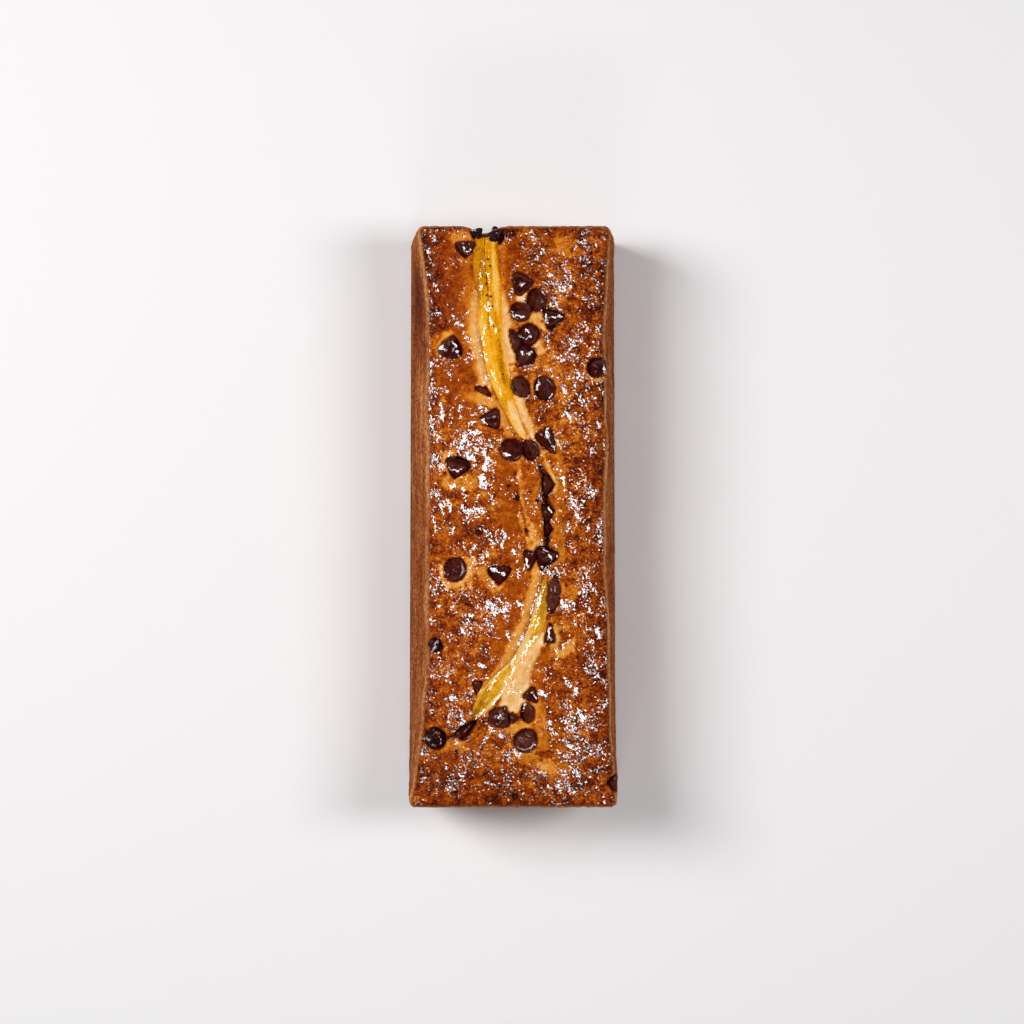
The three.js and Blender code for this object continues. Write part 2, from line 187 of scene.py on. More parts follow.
def crustForm(x, y):
    # Edge height, plus a dome that falls off as powers of the place across and along, plus slow
    # waves (a height times sines of a place over a length), the lips, the tongue and the hollows,
    # less a quarter circle at the rolled edge.
    left, right = crustEdges(y)
    across = (2 * x - left - right) / (right - left)
    along = 2 * y / loaf["length"]
    steepAcross, steepAlong = loaf["domePowers"]
    dome = loaf["domeHeight"] * (1 - np.abs(across) ** steepAcross) * (1 - np.abs(along) ** steepAlong)
    swell = 0.7 * np.sin(y / 17 + 0.6) * np.cos(x / 13 - 0.4)
    swell += 0.45 * np.sin(x / 6.1 + y / 11.3) + 0.35 * np.sin(y / 7.2 - x / 9.4 + 2)
    swell += 0.22 * np.sin(x / 2.9 + 1.1) * np.sin(y / 3.3)
    z = loaf["edgeHeight"] + dome + swell * (1 - across ** 4) * (1 - along ** 8)
    for spine in (upperBanana["spine"], lowerBanana["spine"], *splits):
        z = z + lips["height"] * bell(distanceToStrip(spine, x, y) - lips["middle"], lips["width"])
    beside = np.abs(x - tongue["x"]) / tongue["halfWidth"]
    beyond = np.abs(y - tongue["y"]) / tongue["halfLength"]
    sideways = 1 - ease(beside, *tongue["sideFall"])
    lengthways = 1 - ease(beyond, *tongue["endFall"])
    z = z + tongue["height"] * sideways * lengthways
    for placeX, placeY, radius, depth in hollows:
        z = z - depth * bell(np.hypot(x - placeX, y - placeY), radius)
    rolled = np.clip(1 - insetFromEdge(x, y) / loaf["shoulder"], 0, 1)
    return z - loaf["shoulder"] * (1 - np.sqrt(1 - rolled ** 2))


chip = {
    # Profile of a baked drop, from the middle of the base to the tip, as shares of its diameter
    # out from the axis and of its length along it: a flat base, a soft rim, a nearly straight
    # side and a blunt nib.
    "profile": [(0, 0), (0.15, 0), (0.3, 0), (0.4, 0.008), (0.46, 0.04), (0.493, 0.1), (0.49, 0.19),
                (0.455, 0.32), (0.385, 0.47), (0.285, 0.64), (0.175, 0.8), (0.085, 0.92),
                (0.03, 0.985), (0, 1)],
    "rimFrom": 0.4, "rimWidth": 0.093,  # where the flat base ends, and how far the rim stands out
    "rings": 42, "around": 54, "samples": 56,
    "swell": (0.05, 0.03), "tipBend": 0.07, "waveShare": 0.6,
    "waves": [(0.55, 3.2, 21), (0.2, 1.5, 23)], "burntWaves": [(3.6, 3, 24), (0.9, 0.9, 22)],
    "plainDust": 0.08,
    "rough": {"chip_02": 1.0, "chip_03": 1.0, "chip_12": 0.05, "chip_38": 1.0, "chip_39": 0.5,
              "chip_31": 0.8, "chip_05": 0.12},  # burnt or crusted ones
    "dusty": {"chip_06": 0.6, "chip_09": 0.3, "chip_10": 0.8, "chip_13": 0.9, "chip_14": 0.3,
              "chip_15": 0.7, "chip_18": 0.25, "chip_19": 0.3, "chip_20": 0.6, "chip_21": 0.85,
              "chip_22": 0.5, "chip_28": 0.95, "chip_29": 0.95, "chip_32": 0.6, "chip_34": 0.8,
              "chip_35": 0.3, "chip_36": 0.7, "chip_39": 1.0, "chip_40": 0.7, "chip_03": 0.2},
}


def readArray(source, name, width, kind=float):
    values = np.empty(len(source) * width, kind)
    source.foreach_get(name, values)
    return values.reshape(-1, width) if width > 1 else values


def chipFromSolid(node):
    # The widest flat face of a chip's solid is its base, and the axis leads from the middle of
    # that face into the solid. The farthest point along it gives the length, and the farthest
    # from it the radius.
    points = readArray(node.data.vertices, "co", 3) * 1000
    facing = readArray(node.data.polygons, "normal", 3)
    area = readArray(node.data.polygons, "area", 1)
    centres = readArray(node.data.polygons, "center", 3) * 1000
    level = facing @ facing.T > 0.999
    widest = np.argmax(level @ area)
    onBase = level[widest]
    base = np.average(centres[onBase], axis=0, weights=area[onBase])
    axis = -facing[widest]
    away = points - base
    up = away @ axis
    out = np.linalg.norm(away - up[:, None] * axis, axis=1)
    return {"name": node.name, "axis": axis, "base": base, "diameter": 2 * out.max(), "length": up.max()}


chips = [chipFromSolid(node) for name, node in sorted(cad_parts.items())
         if name.startswith("chip")]
profileLine = splineThrough(chip["profile"], chip["rings"])


def chipSilhouette(one, x, y, crust):
    # How far a point of the crust lies inside a chip's outline from above, and the height of
    # the chip's surface there: the best of a column of samples over the chip's own profile.
    middle = one["base"] + one["axis"] * one["length"] * 0.4
    reach = max(one["diameter"], one["length"])
    near = np.hypot(x - middle[0], y - middle[1]) < 1.1 * reach
    levels = np.linspace(-0.8, 0.8, chip["samples"]) * reach + middle[2]
    plan = np.column_stack([x[near], y[near]]) - one["base"][:2]
    away = np.stack(np.broadcast_arrays(plan[:, :1], plan[:, 1:], levels - one["base"][2]), -1)
    up = away @ one["axis"]
    out = np.sqrt(np.maximum((away ** 2).sum(-1) - up ** 2, 0))
    widest = np.argmax(profileLine[:, 0])
    held = np.clip(up / one["length"], 0, 1)
    side = np.interp(held, profileLine[widest:, 1], profileLine[widest:, 0])
    rim = chip["rimFrom"] + chip["rimWidth"] * np.sqrt(np.clip(held / profileLine[widest, 1], 0, 1))
    radius = np.where(held < profileLine[widest, 1], rim, side) * one["diameter"]
    beyond = np.maximum(-up, up - one["length"])
    inside = np.where((beyond < 0) & (out < radius), np.minimum(radius - out, -beyond),
                      -np.hypot(np.maximum(out - radius, 0), np.maximum(beyond, 0)))
    clearance = np.full(x.shape, -99.0)
    clearance[near] = inside.max(1)
    top = crust.copy()
    top[near] = np.where(inside > 0, levels, -99.0).max(1)
    return clearance, top


# Bands and patches of the crust, painted in this order, each with its bake, its grain, the width
# of its soft border, its lift and its spine. bake runs from 0, pale batter, through 0.5,
# orange-brown, to 1, nearly burnt. grain is how pebbly it is, and lift how far it stands up. A
# spine's points are x, y and half the width.
patches = [
    # smooth, evenly browned stretches
    (0.61, 0.1, 5, 0.2, [(-22, 106, 5), (-22, 92, 6), (-21, 76, 5), (-22, 60, 6), (-18, 47, 5)]),
    (0.46, 0.1, 4.5, 0, [(-16.6, 103, 0.6), (-17, 90, 1), (-16.6, 76, 1), (-15.6, 68, 0.6)]),
    (0.58, 0.2, 3, 0.2, [(1, 110, 2), (0.5, 100, 2.5), (1, 92, 2.5)]),
    (0.47, 0.1, 2, 0.1, [(-4.6, 112, 0.8), (-4.2, 94, 0.8)]),
    (0.56, 0.1, 3, 0.1, [(-2, 30, 2), (-3, 16, 2.5), (-1.5, 0, 2.5), (1, -14, 2)]),
    (0.56, 0.12, 3.5, 0.3, [(3, -22, 3), (1, -32, 3), (-1, -42, 2.5), (-6, -54, 2.5)]),
    (0.44, 0.08, 2, 0.2, [(18, 24, 1), (19, 12, 1.2), (18.6, 0, 1.4), (18.6, -10, 1.6), (19, -16, 1.4)]),
    (0.52, 0.12, 2.4, 0.1, [(12, -54, 1.6), (10.5, -60, 1.6), (9.6, -68, 1.2)]),
    (0.6, 0.3, 4, 0, [(-30, -97, 2), (-24, -102, 4), (-17, -106, 3)]),
    (0.5, 0.12, 2.4, 0.2, [(19, -93, 1.4), (19.6, -101, 2), (18, -106, 1.4)]),
    # golden patches
    (0.4, 0.5, 2.6, 0.3, [(20, 109, 2.2), (24, 107, 1.6)]),
    (0.4, 0.3, 2, 0.3, [(-23, 112, 1.4), (-17, 111.6, 1.8)]),
    (0.45, 0.7, 3, 0, [(14, 66, 1.5), (16, 56, 1.5), (20, 49, 1.5)]),
    (0.38, 0.4, 2.2, 0.2, [(19.6, -28.6, 1.4), (23.4, -29.4, 1.8)]),
    (0.36, 0.2, 1.8, 0.2, [(-1, -84.4, 1.4), (3, -84.6, 1.6), (7, -82.4, 1.2)]),
    (0.4, 0.15, 2.2, 0.2, [(9.4, -74, 1), (10.6, -79, 1.8), (11.6, -85.4, 1.6), (12.4, -92, 1.2)]),
    (0.4, 0.2, 1.8, 0.2, [(2.6, -95.4, 1.6), (8.2, -97.6, 1.6)]),
    (0.3, 0.5, 2, 0.1, [(12.2, -98.4, 1.6), (15.4, -101.4, 1.6)]),
    (0.42, 0.3, 2.4, 0.2, [(-24.6, -91, 1.8), (-19.8, -92.2, 1.8)]),
    (0.38, 0.4, 2.4, 0.2, [(-20.2, 13.4, 1.8), (-15.8, 13.4, 1.6)]),
    # the tongue, smooth above and crumbly below, with a ragged pale side
    (0.53, 0.3, 1.6, 0.2, [(6.6, 21, 3.4), (7.4, 12, 4), (8, 3, 4), (9.2, -6, 3.6)]),
    (0.27, 1.2, 1.5, 0.1, [(1.6, 23, 0.3), (2.4, 18, 0.5), (2.6, 11, 0.6), (3.4, 3, 0.8),
                           (5.6, -3.4, 1.5), (7.6, -7.4, 2.4), (8.6, -11.4, 2)]),
    # pale lips of batter along the banana
    (0.15, 0.05, 3.4, 0.1, [(-15.6, 98, -2.6), (-14.8, 88, -0.6), (-15, 78, 0.6), (-14.2, 68.8, 0.7),
                            (-12.4, 61.2, 0.9), (-11.2, 56.4, 1), (-9.8, 52, 0.8)]),
    (0.3, 0.1, 2.2, 0.2, [(-17, 48.4, 0.8), (-11, 46.8, 1.5), (-6.2, 44.4, 1.6), (-4, 40, 1),
                          (-1.4, 34.6, 1)]),
    (0.13, 0.1, 2.4, 0.1, [(-4.4, 99, -2), (-4.2, 90, -0.4), (-3.2, 79, 1), (-2.6, 72, 1.5),
                           (-1.6, 66, 1.8), (-1, 60.6, 1.2)]),
    (0.36, 0.2, 1.8, 0, [(0.6, 56.4, 1), (1.4, 52, 1.2), (2.2, 48, 0.8)]),
    (0.1, 0.05, 1.4, 0.2, [(2.2, 47.6, 1), (3.6, 42, 2), (5.4, 36.4, 1.9), (7.6, 31.6, 0.9)]),
    (0.2, 0.1, 1.1, 0.1, [(8.5, 30.8, 0.3), (12.1, 25.3, 0.4), (14.9, 18.6, 0.35), (17.2, 14, 0.35),
                          (17, 10.5, 0.2)]),
    (0.08, 0.1, 1.4, 0.1, [(4.2, 87.6, 1.5), (7, 83.4, 1.2)]),
    (0.26, 0.2, 1.6, 0.1, [(8.6, 80.4, 1.2), (11, 78.4, 1.8), (13.4, 76.4, 1)]),
    (0.16, 0.1, 1.3, 0.1, [(10.6, 68.6, 1.3), (11, 66.6, 1)]),
    (0.25, 0.05, 1.8, 0.4, [(9.8, -22, 1), (8.4, -29.2, 1.2), (6.6, -35.2, 1.2), (5.1, -40.4, 1.1),
                            (3.1, -45.2, 1.2), (-0.2, -52.4, 1.1), (-4, -60, 1), (-8.4, -65.4, 0.8),
                            (-11.4, -69, 0.4)]),
    (0.1, 0.15, 1.7, 0.3, [(12.6, -48.2, 0.9), (9.6, -51.4, 1.9), (6.8, -55.2, 2.2), (3.8, -60.4, 3.2),
                           (1.8, -66, 4.2), (0.8, -71.2, 4.8), (-1, -75.4, 3.2)]),
    # paler rims round single chips, and round the little crater
    (0.34, 0.2, 1.4, 0.2, [(-29.4, 65.6, 0.3), (-28.4, 70, 0.8), (-24.8, 73, 0.8)]),
    (0.3, 0.3, 1.5, 0.2, [(-24.2, 26.4, 0.8), (-27, 21.2, 0.7), (-26.8, 16, 1.2), (-24.4, 12.2, 0.8)]),
    (0.27, 1.2, 1.7, 0.2, [(-17.4, -16.4, 0.8), (-16.8, -21, 1.6), (-18, -26, 1.4), (-23, -27.8, 1),
                           (-27.6, -25.6, 0.5), (-28.6, -20, 0.3)]),
    (0.36, 0.4, 1.6, 0.2, [(-12.4, -21.6, 1.2), (-10, -25.6, 1.2), (-6.4, -28.6, 0.8),
                           (-4.6, -28.4, 0.2)]),
    (0.26, 0.3, 1.4, 0.4, [(17.2, -45, 0.8), (17.2, -51.2, 0.8), (19.4, -54.6, 1), (22.8, -53.2, 1),
                           (24, -49.4, 0.8)]),
    (0.3, 0.3, 1, 0.2, [(30, 57.4, 0.3), (34, 54.8, 0.4), (38, 56.4, 0.2)]),
    # scorched spots
    (0.76, 0.6, 3, -0.2, [(-15.4, -6, 2), (-12.4, -9, 2)]),
    (0.74, 0.9, 3, 0, [(-36, 113, 3), (-30, 112.6, 1.6)]),
    (0.78, 0.9, 5, 0, [(-33, 108, 2), (-32, 92, 2), (-30.6, 78, 1.6)]),
    (0.98, 0.9, 1.4, 0, [(-12, 113.4, 1.2), (-6, 113.6, 1.4), (0, 113.6, 1)]),
    (0.68, 0.8, 4, 0, [(5, 108, 1.5), (9, 104, 2)]),
    (0.7, 0.8, 5, 0, [(-31, -101, 2), (-24, -108, 3), (-6, -105, 2)]),
    # a sunk crack, painted nearly burnt: partly its own browning, partly painted shade in it
    (0.92, 0.4, 0.9, -0.5, [(-28.6, -52.4, 0.3), (-28.6, -56.6, 0.4)]),
]
# Pores and burst bubbles: x, y, radius and depth. Each is also painted darker, as shade in it.
pores = [(-18.5, -27.4, 0.8, 1.2), (-20.8, -28.2, 0.45, 0.7), (-22.5, -94, 0.8, 1.1), (1.7, 7.6, 1, 1.4),
         (5.6, -5.6, 0.9, 1.3), (-13.5, -5.9, 1.1, 1.3), (24.2, 107, 0.8, 1), (11.8, 78.1, 0.45, 0.7),
         (11.5, -97.4, 0.6, 0.8), (1.1, -112, 1, 0.9), (21.6, -27.4, 0.5, 0.7), (-18.4, 9.7, 0.6, 0.9),
         (-27.1, 17.6, 0.9, 0.7), (-33.2, 29.6, 0.9, 0.9), (-1.6, 12.4, 0.8, 0.5), (10, 6.4, 0.8, 0.5),
         (6.6, -3.4, 0.5, 0.6), (5.2, -1.2, 0.4, 0.5), (6.9, 9.7, 0.6, 0.4), (-10.4, 43.6, 0.4, 0.5),
         (14.4, 73.6, 0.4, 0.6), (11.6, 74.8, 0.35, 0.6), (-10.4, -25, 0.4, 0.6),
         (-4.4, -25.4, 0.35, 0.5), (31.6, 106, 0.6, 0.7), (-27.4, -24.2, 0.4, 0.5)]
# Creases: a spine and the depth. Each is also painted darker, as shade in the crease.
creases = [
    ([(1.2, 17, 0.2), (2.2, 8, 0.3), (4.2, 0, 0.3), (6, -8, 0.2)], 0.7),
    ([(-1.6, 60.4, 0.1), (0.8, 61.2, 0.2), (2.6, 60.6, 0.1)], 0.6),
    ([(1.2, 43.6, 0.2), (2.8, 38.4, 0.3), (5.4, 34.4, 0.25), (7.2, 31, 0.15)], 0.7),
    ([(36.6, 54, 0.2), (36.4, 49, 0.3), (36.8, 44.6, 0.2)], 0.9),
    ([(-16.4, 100.6, 0.2), (-15.2, 98, 0.2)], 0.5),
]
# Where the set glaze stands in little sloping flakes that catch the light: half the width, then
# x and y of each point of a short stroke.
glazeFlakes = [
    (0.48, -30.6, 115.6, -31.8, 113.2, -31, 110.4), (0.36, -34.6, 108.8, -33, 106),
    (0.28, -36.6, 110.8, -35.4, 108.4), (0.32, -33, 114.4, -33, 112.4), (0.32, -3, 112.4, -0.6, 110.4),
    (0.4, 1, 112.8, -1.4, 109.2), (0.32, 11.4, 115.2, 13.4, 113.6), (0.36, 7.4, 114.4, 8.2, 112.4),
    (0.52, 8.6, 109.6, 7.4, 106.8, 9.8, 103.6), (0.4, 11.4, 106, 13, 108), (0.4, 6.2, 102, 8.2, 99.6),
    (0.4, -0.2, 102, 2.2, 100.4), (0.32, 3.8, 110.8, 4.6, 107.6),
    (0.72, 27.4, 114, 28.2, 110.4, 30.2, 107.2), (0.48, 26.2, 109.6, 24.2, 106.4),
    (0.4, 31.8, 110.8, 33.4, 108), (0.36, 35, 104.8, 36.2, 102), (0.4, 29, 104, 31, 102),
    (0.8, 15, 97.2, 17.4, 94, 20.2, 90.8), (0.48, 19.8, 101.2, 21, 96.8), (0.4, 16.2, 101.2, 17.4, 103.6),
    (0.4, 23.8, 98.4, 23, 93.2, 24.6, 88.8), (0.36, 32.6, 96.8, 34.2, 92.8, 33.4, 90),
    (0.64, 15.8, 88, 17.8, 84.8, 20.2, 79.6), (0.36, 14.2, 86.8, 15.4, 82.8), (0.4, 36.6, 86, 37.8, 83.6),
    (0.32, 28.2, 88.4, 29.8, 86.4), (0.44, 29, 78, 30.2, 74.4),
    (0.48, 21.8, 72.4, 23.8, 68.8, 21.4, 65.6), (0.32, 16.2, 66, 17.8, 63.6), (0.36, 31, 66, 30.6, 62.8),
    (0.36, 19, 64.4, 20.6, 61.2), (0.36, 24.6, 65.2, 26.2, 62.4), (0.36, 13.8, 72, 14.2, 67.2),
    (0.4, -31.4, 93.6, -30.2, 90.8), (0.32, -21.4, 86.8, -20.6, 84.8), (0.44, -23, 77.6, -19.8, 76.4),
    (0.48, -19.8, 74, -17.8, 70), (0.56, -29, 66, -26.2, 65.2, -23, 63.6),
    (0.32, -27.4, 102, -26.6, 99.6), (0.32, -26.2, 86.8, -25, 84), (0.32, -24.6, 82.8, -23, 80),
    (0.28, -30.2, 82, -28.6, 79.6), (0.32, -33.4, 103.6, -31.8, 100.4), (0.4, -33.4, 98, -31.8, 94.8),
    (0.32, -33, 62, -32.6, 57.2), (0.44, -32.6, 55.6, -31.4, 48.4), (0.36, -33.8, 47.6, -33, 42.8),
    (0.4, -28.6, 45.2, -27.8, 38.4), (0.44, -28.6, 34.4, -29.8, 30.4), (0.32, -33, 38.8, -31.8, 34),
    (0.32, -33.8, 23.6, -33, 17.2), (0.32, -34.2, 14, -32.6, 6.8), (0.4, -27, 52.4, -26.2, 50.4),
    (0.44, -21.4, 45.2, -21, 39.6), (0.36, -24.6, 39.2, -25.4, 35.2), (0.36, -12.6, 45.2, -11.8, 43.2),
    (0.64, -17.8, 36.4, -15.4, 37.6), (0.64, -17, 33.6, -13.4, 33.6), (0.48, -19, 32.4, -20.6, 27.2),
    (0.56, -18.2, 26, -17, 22.8), (0.44, -15.4, 23.6, -15.4, 18.8),
    (0.8, -11.4, 25.6, -10.2, 22, -11.4, 18.8), (0.88, -12.2, 16.4, -12.2, 11.6, -10.2, 13.2),
    (0.48, -13.4, 9.2, -15.4, 3.6), (0.4, -9.4, 10, -7.4, 5.6), (0.36, -7.8, 18.8, -7, 14),
    (0.52, -19.8, 11.2, -19.4, 7.2), (0.36, -22.6, 12.4, -24.6, 11.2), (0.6, -26.2, 6.4, -24.6, 2),
    (0.48, -20.6, 4.4, -17, 1.6), (0.4, -12.6, 3.6, -10.2, 0), (0.32, -29, 4.4, -27.4, 0.8),
    (0.36, -32.2, -0.4, -30.2, -5.2), (0.36, -23, -4, -25.4, -7.6), (0.48, -4.2, -4.4, -3, -7.6),
    (0.36, -3.4, -8.8, -4.2, -12.4), (0.4, -19.8, -9.2, -19.4, -12.4), (0.36, -16.6, -13.6, -14.6, -11.6),
    (0.44, 2.2, -21.2, 2.6, -24.8), (0.32, -0.2, -12.8, 1.4, -15.6), (0.36, -10.2, -13.6, -9.4, -16.4),
    (0.4, -20.2, -30, -21.8, -34), (0.36, -19, -30, -17, -33.6),
    (0.92, -10.2, -35.6, -7.4, -36.8, -9.8, -34), (0.8, -7, -38.4, -2.6, -36.8),
    (0.44, -4.6, -33.2, -2.2, -34.8), (0.36, 1.8, -33.6, 4.2, -38), (0.4, -7.8, -26.8, -6.2, -24.4),
    (0.4, -33.4, -28, -31, -31.6), (0.36, -29, -35.6, -31.8, -37.6), (0.36, -24.2, -35.6, -22.6, -38),
    (0.4, -10.2, -41.2, -8.2, -43.6), (0.32, -3, -40.4, -1.8, -42), (0.6, -30.2, -49.6, -31.4, -53.2),
    (0.44, -16.2, -39.2, -17.8, -42.4), (0.4, -21, -44, -19.4, -46.8), (0.48, -11.4, -55.2, -8.2, -57.2),
    (0.44, -13.4, -58.8, -10.2, -60.8), (0.36, -20.2, -57.2, -17, -59.2), (0.36, -2.2, -46.8, -1, -49.6),
    (0.48, 25, -42.4, 25.4, -44), (0.52, 33.8, -45.6, 35, -48.8), (0.4, 31.4, -49.6, 32.6, -51.6),
    (0.44, 20.6, -49.6, 20.2, -54), (0.44, 17.8, -51.6, 17.8, -57.2), (0.4, 23.4, -46.8, 22.2, -50),
    (0.36, 29, -55.2, 31, -57.2), (0.4, 29.4, -34.8, 31, -38), (0.4, 23.8, -34, 25, -37.6),
    (0.4, 19.4, -34, 21.4, -36), (0.56, 17.4, -15.6, 16.2, -13.6), (0.4, 30.6, -2.8, 29.8, -6),
    (0.36, 21.4, -1.2, 23, -4.4), (0.48, 20.2, 15.6, 21, 10.4), (0.4, 23, 9.6, 24.6, 4.8),
    (0.36, 18.6, 3.6, 20.2, 0.4), (0.36, 25, 2.4, 26.6, -0.8), (0.4, 33.8, 38.8, 35, 35.6),
    (0.36, 31.4, 27.6, 32.2, 22), (0.36, 21, 42, 23, 39.6), (0.4, 20.2, 52.4, 21, 48.4),
    (0.36, 25.8, 54.4, 24.6, 50), (0.36, 29.4, 53.6, 30.6, 50.4), (0.48, 34.6, 51.6, 36.2, 49.6),
    (0.36, 26.6, 47.6, 28.2, 44), (0.72, -25.4, -82.8, -23.4, -85.6), (0.56, -33, -76, -31.8, -80),
    (0.4, -25, -70.8, -24.2, -73.6), (0.4, -20.6, -77.6, -19.8, -82), (0.36, -32.6, -66.8, -31.4, -70.8),
    (0.36, -26.2, -63.6, -23.8, -61.2), (0.68, -5, -86.8, -1.8, -90), (0.48, -9, -84, -6.6, -86.4),
    (0.44, -10.6, -88.4, -12.6, -92.4), (0.4, -18.2, -90, -15.8, -88.4), (0.4, 0.6, -93.2, 3, -96.8),
    (0.36, -16.2, -94, -17.4, -98), (0.72, -26.6, -99.6, -26.2, -100.8), (0.56, 20.6, -64.4, 23.4, -68),
    (0.72, 25.4, -69.2, 24.6, -72.4), (0.56, 11.4, -70, 13.4, -72), (0.44, 13.8, -76, 15.8, -78.8),
    (0.68, 14.2, -82, 16.2, -87.2), (0.76, 26.6, -77.6, 27.8, -81.2), (0.48, 20.6, -88.4, 23.8, -92.4),
    (0.44, 19, -94, 21.4, -96.4), (0.44, 25.4, -87.2, 27.4, -89.6), (0.4, 31.8, -84.4, 34.2, -86.4),
    (0.4, 11.4, -86.4, 13, -89.6), (0.4, 29.4, -94, 31.8, -96), (0.64, -20.6, -103.2, -19.4, -107.2),
    (0.48, -24.6, -107.2, -25.8, -111.6), (0.56, -10.2, -106.4, -5.4, -108.4),
    (0.68, 13, -103.2, 15.4, -108.8), (0.68, 17.4, -106, 19.8, -110), (0.48, 11, -109.2, 13.4, -112),
    (0.48, 25, -100.8, 27, -104.8), (0.48, 23, -107.2, 25, -110.4), (0.44, -3, -104.8, -0.6, -106.8),
    (0.4, 3, -106, 4.6, -109.2), (0.4, -29.8, -107.6, -30.6, -111.2), (0.4, -35, -103.6, -36.2, -107.2),
    (0.52, 6.2, -98, 9.8, -98.8), (0.44, 3.4, -94.8, 4.6, -96.4), (0.4, 33, -62, 35, -64.4),
    (0.36, 29, -60.4, 30.2, -62.8), (0.4, -25, 26, -26.2, 23.2), (0.4, -0.2, 90.8, -1, 87.6),
    (0.36, 13, 79.6, 11.4, 82.4), (0.48, 5.4, 87.2, 4.6, 84.4),
]
chipFlakes = [
    (0.32, -19.8, 108.4, -18.6, 105.6, -17, 107.2), (0.32, 4.6, 93.2, 3.4, 92),
    (0.36, 11.4, 90.8, 13.4, 88), (0.28, 13.8, 86.8, 13.4, 83.2), (0.4, 1.8, 80.4, 4.2, 79.6),
    (0.28, -0.6, 82, 0.6, 80), (0.28, 13.4, 81.6, 13.4, 77.6), (0.28, 15.8, 79.6, 19.8, 80.4),
    (0.44, 5.4, 74.4, 6.6, 73.6), (0.24, 2.6, 72.4, 4.6, 71.2, 7.4, 72), (0.4, 3.4, 66.4, 4.6, 64.8),
    (0.28, 6.2, 64.8, 7.8, 66), (0.48, -29.4, 67.2, -27.4, 68), (0.36, -23.8, 70, -22.6, 68),
    (0.32, -22.6, 66.4, -21.8, 64.4), (0.28, 36.6, 61.2, 37, 57.6), (0.32, 10.6, 54.8, 9.8, 50.4),
    (0.24, 14.6, 47.2, 16.2, 49.2), (0.6, -12.2, 38.4, -11, 36.8), (0.52, 13.4, 36.4, 14.2, 32),
    (0.28, 16.2, 28, 17.4, 26), (0.4, -3.4, 25.2, -0.6, 24.4), (0.24, -25.8, 20, -23, 18.4, -20.2, 18.8),
    (0.36, 14.2, 3.2, 15.4, 2), (0.36, 11.4, -12, 13.8, -14), (0.24, 15, -15.6, 15.8, -18),
    (0.36, 11.4, -19.6, 12.2, -22.4), (0.32, 5.4, -16.8, 6.2, -20),
    (0.2, -27.4, -17.2, -27.8, -21.2, -26.2, -23.6), (0.32, -8.6, -20.8, -5.4, -22),
    (0.48, -4.2, -22.4, -3, -23.2), (0.32, 14.6, -44, 14.6, -48.4), (0.32, 7.4, -70, 9.4, -72.4),
    (0.32, 5, -74.8, 4.2, -78), (0.28, -5, -79.2, -5, -82), (0.24, -31.8, -87.2, -30.6, -86.4),
    (0.24, -33.4, -89.6, -34.2, -88.4), (0.24, -28.6, -89.2, -29, -91.2), (0.28, 7, -92.4, 9, -90.8),
    (0.3, -17.2, 115.8, -14.8, 114.8), (0.24, -8.6, 114.4, -5.2, 116), (0.2, -6.6, 113.2, -4, 114.6),
    (0.34, -30.2, -49.4, -31, -52, -32.2, -53.6), (0.24, -32.6, -91, -30.8, -92),
]
fruitFlakes = [
    (0.3, -13.3, 97, -12.8, 90, -12.4, 84, -12.2, 78, -11.8, 70),
    (0.28, -9.8, 112, -9.6, 104, -9.5, 96, -9.2, 86),
    (0.32, 9.8, -47.6, 7.2, -50.4, 5, -54.4, 4.2, -58.4), (0.28, 7.8, -49.6, 5.4, -53.6, 3.6, -58),
    (0.28, 12.4, -28, 11, -34, 9.4, -39.4, 7, -44.4), (0.28, 10.4, -28, 9.2, -34, 7.6, -39),
    (0.4, -11.8, 102.4, -11, 99.6), (0.3, -13, 98.8, -12.6, 96.4), (0.4, -11, 98, -9.8, 96.4),
    (0.3, -12.2, 93.2, -12.2, 90.8), (0.5, -11.4, 84, -10.2, 82.8), (0.55, -9.4, 85.6, -9.4, 82.8),
    (0.6, -9.4, 80, -8.2, 76.8), (0.3, -6.6, 75.6, -6.6, 73.6), (0.45, -11, 76.4, -11.4, 73.2),
    (0.5, -11.8, 71.6, -11.4, 69.2), (0.3, -13, 66, -11.8, 64), (0.3, -10.6, 58, -9.4, 54.8),
    (0.4, -8.2, 58.4, -6.2, 53.6), (0.3, -5.4, 50.8, -4.6, 48.4), (0.25, -14.2, 86.8, -13.8, 82),
    (0.3, -11.4, 66, -10.2, 62), (0.35, 7, -41.2, 5, -45.2, 3, -49.6),
    (0.4, 9, -48, 6.2, -51.2, 3.8, -55.6), (0.35, 1, -55.2, -0.6, -60), (0.4, 0.6, -60.4, -1, -64.4),
    (0.45, -2.6, -66, -1.4, -68, 0.6, -66.8, -0.2, -64.4), (0.45, -2.2, -70.4, 0.6, -69.6, 3, -70.4),
    (0.4, -3.8, -70, -6.2, -72.8, -8.2, -75.6), (0.45, -11.4, -77.2, -14.6, -80.8),
    (0.3, 11.4, -31.6, 9.8, -36), (0.3, 8.2, -35.6, 7.4, -39.2), (0.3, 10.6, -40.4, 9, -44.4),
    (0.35, -7, -65.2, -9.4, -69.2), (0.3, 4.2, -38, 2.6, -41.6), (0.35, -6.2, -63.6, -4.6, -62),
    (0.4, 13.4, -20.8, 14.6, -23.2), (0.3, 4.6, -46.8, 2.6, -51.2),
]
# Where the glaze is thick and its small glints crowd: x, y, radius and how much more there is.
glitter = [(20, 96, 12, 0.07), (28, 72, 8, 0.05), (34, 113, 4, 0.08), (-32, 62, 7, 0.06),
           (-33, 30, 14, 0.09), (-18, 30, 10, 0.03), (28, 8, 9, 0.01), (28, -40, 10, 0.04),
           (26, -64, 9, 0.05), (-31, -34, 6, 0.04), (-33, -74, 7, 0.05), (24, -92, 9, 0.12),
           (22, -107, 10, 0.18), (-24, -103, 9, 0.14), (-6, -88, 6, 0.05), (0, -106, 8, 0.14),
           (8, 106, 8, 0.06), (-12, -44, 9, 0.05), (-20, -55, 8, 0.05)]
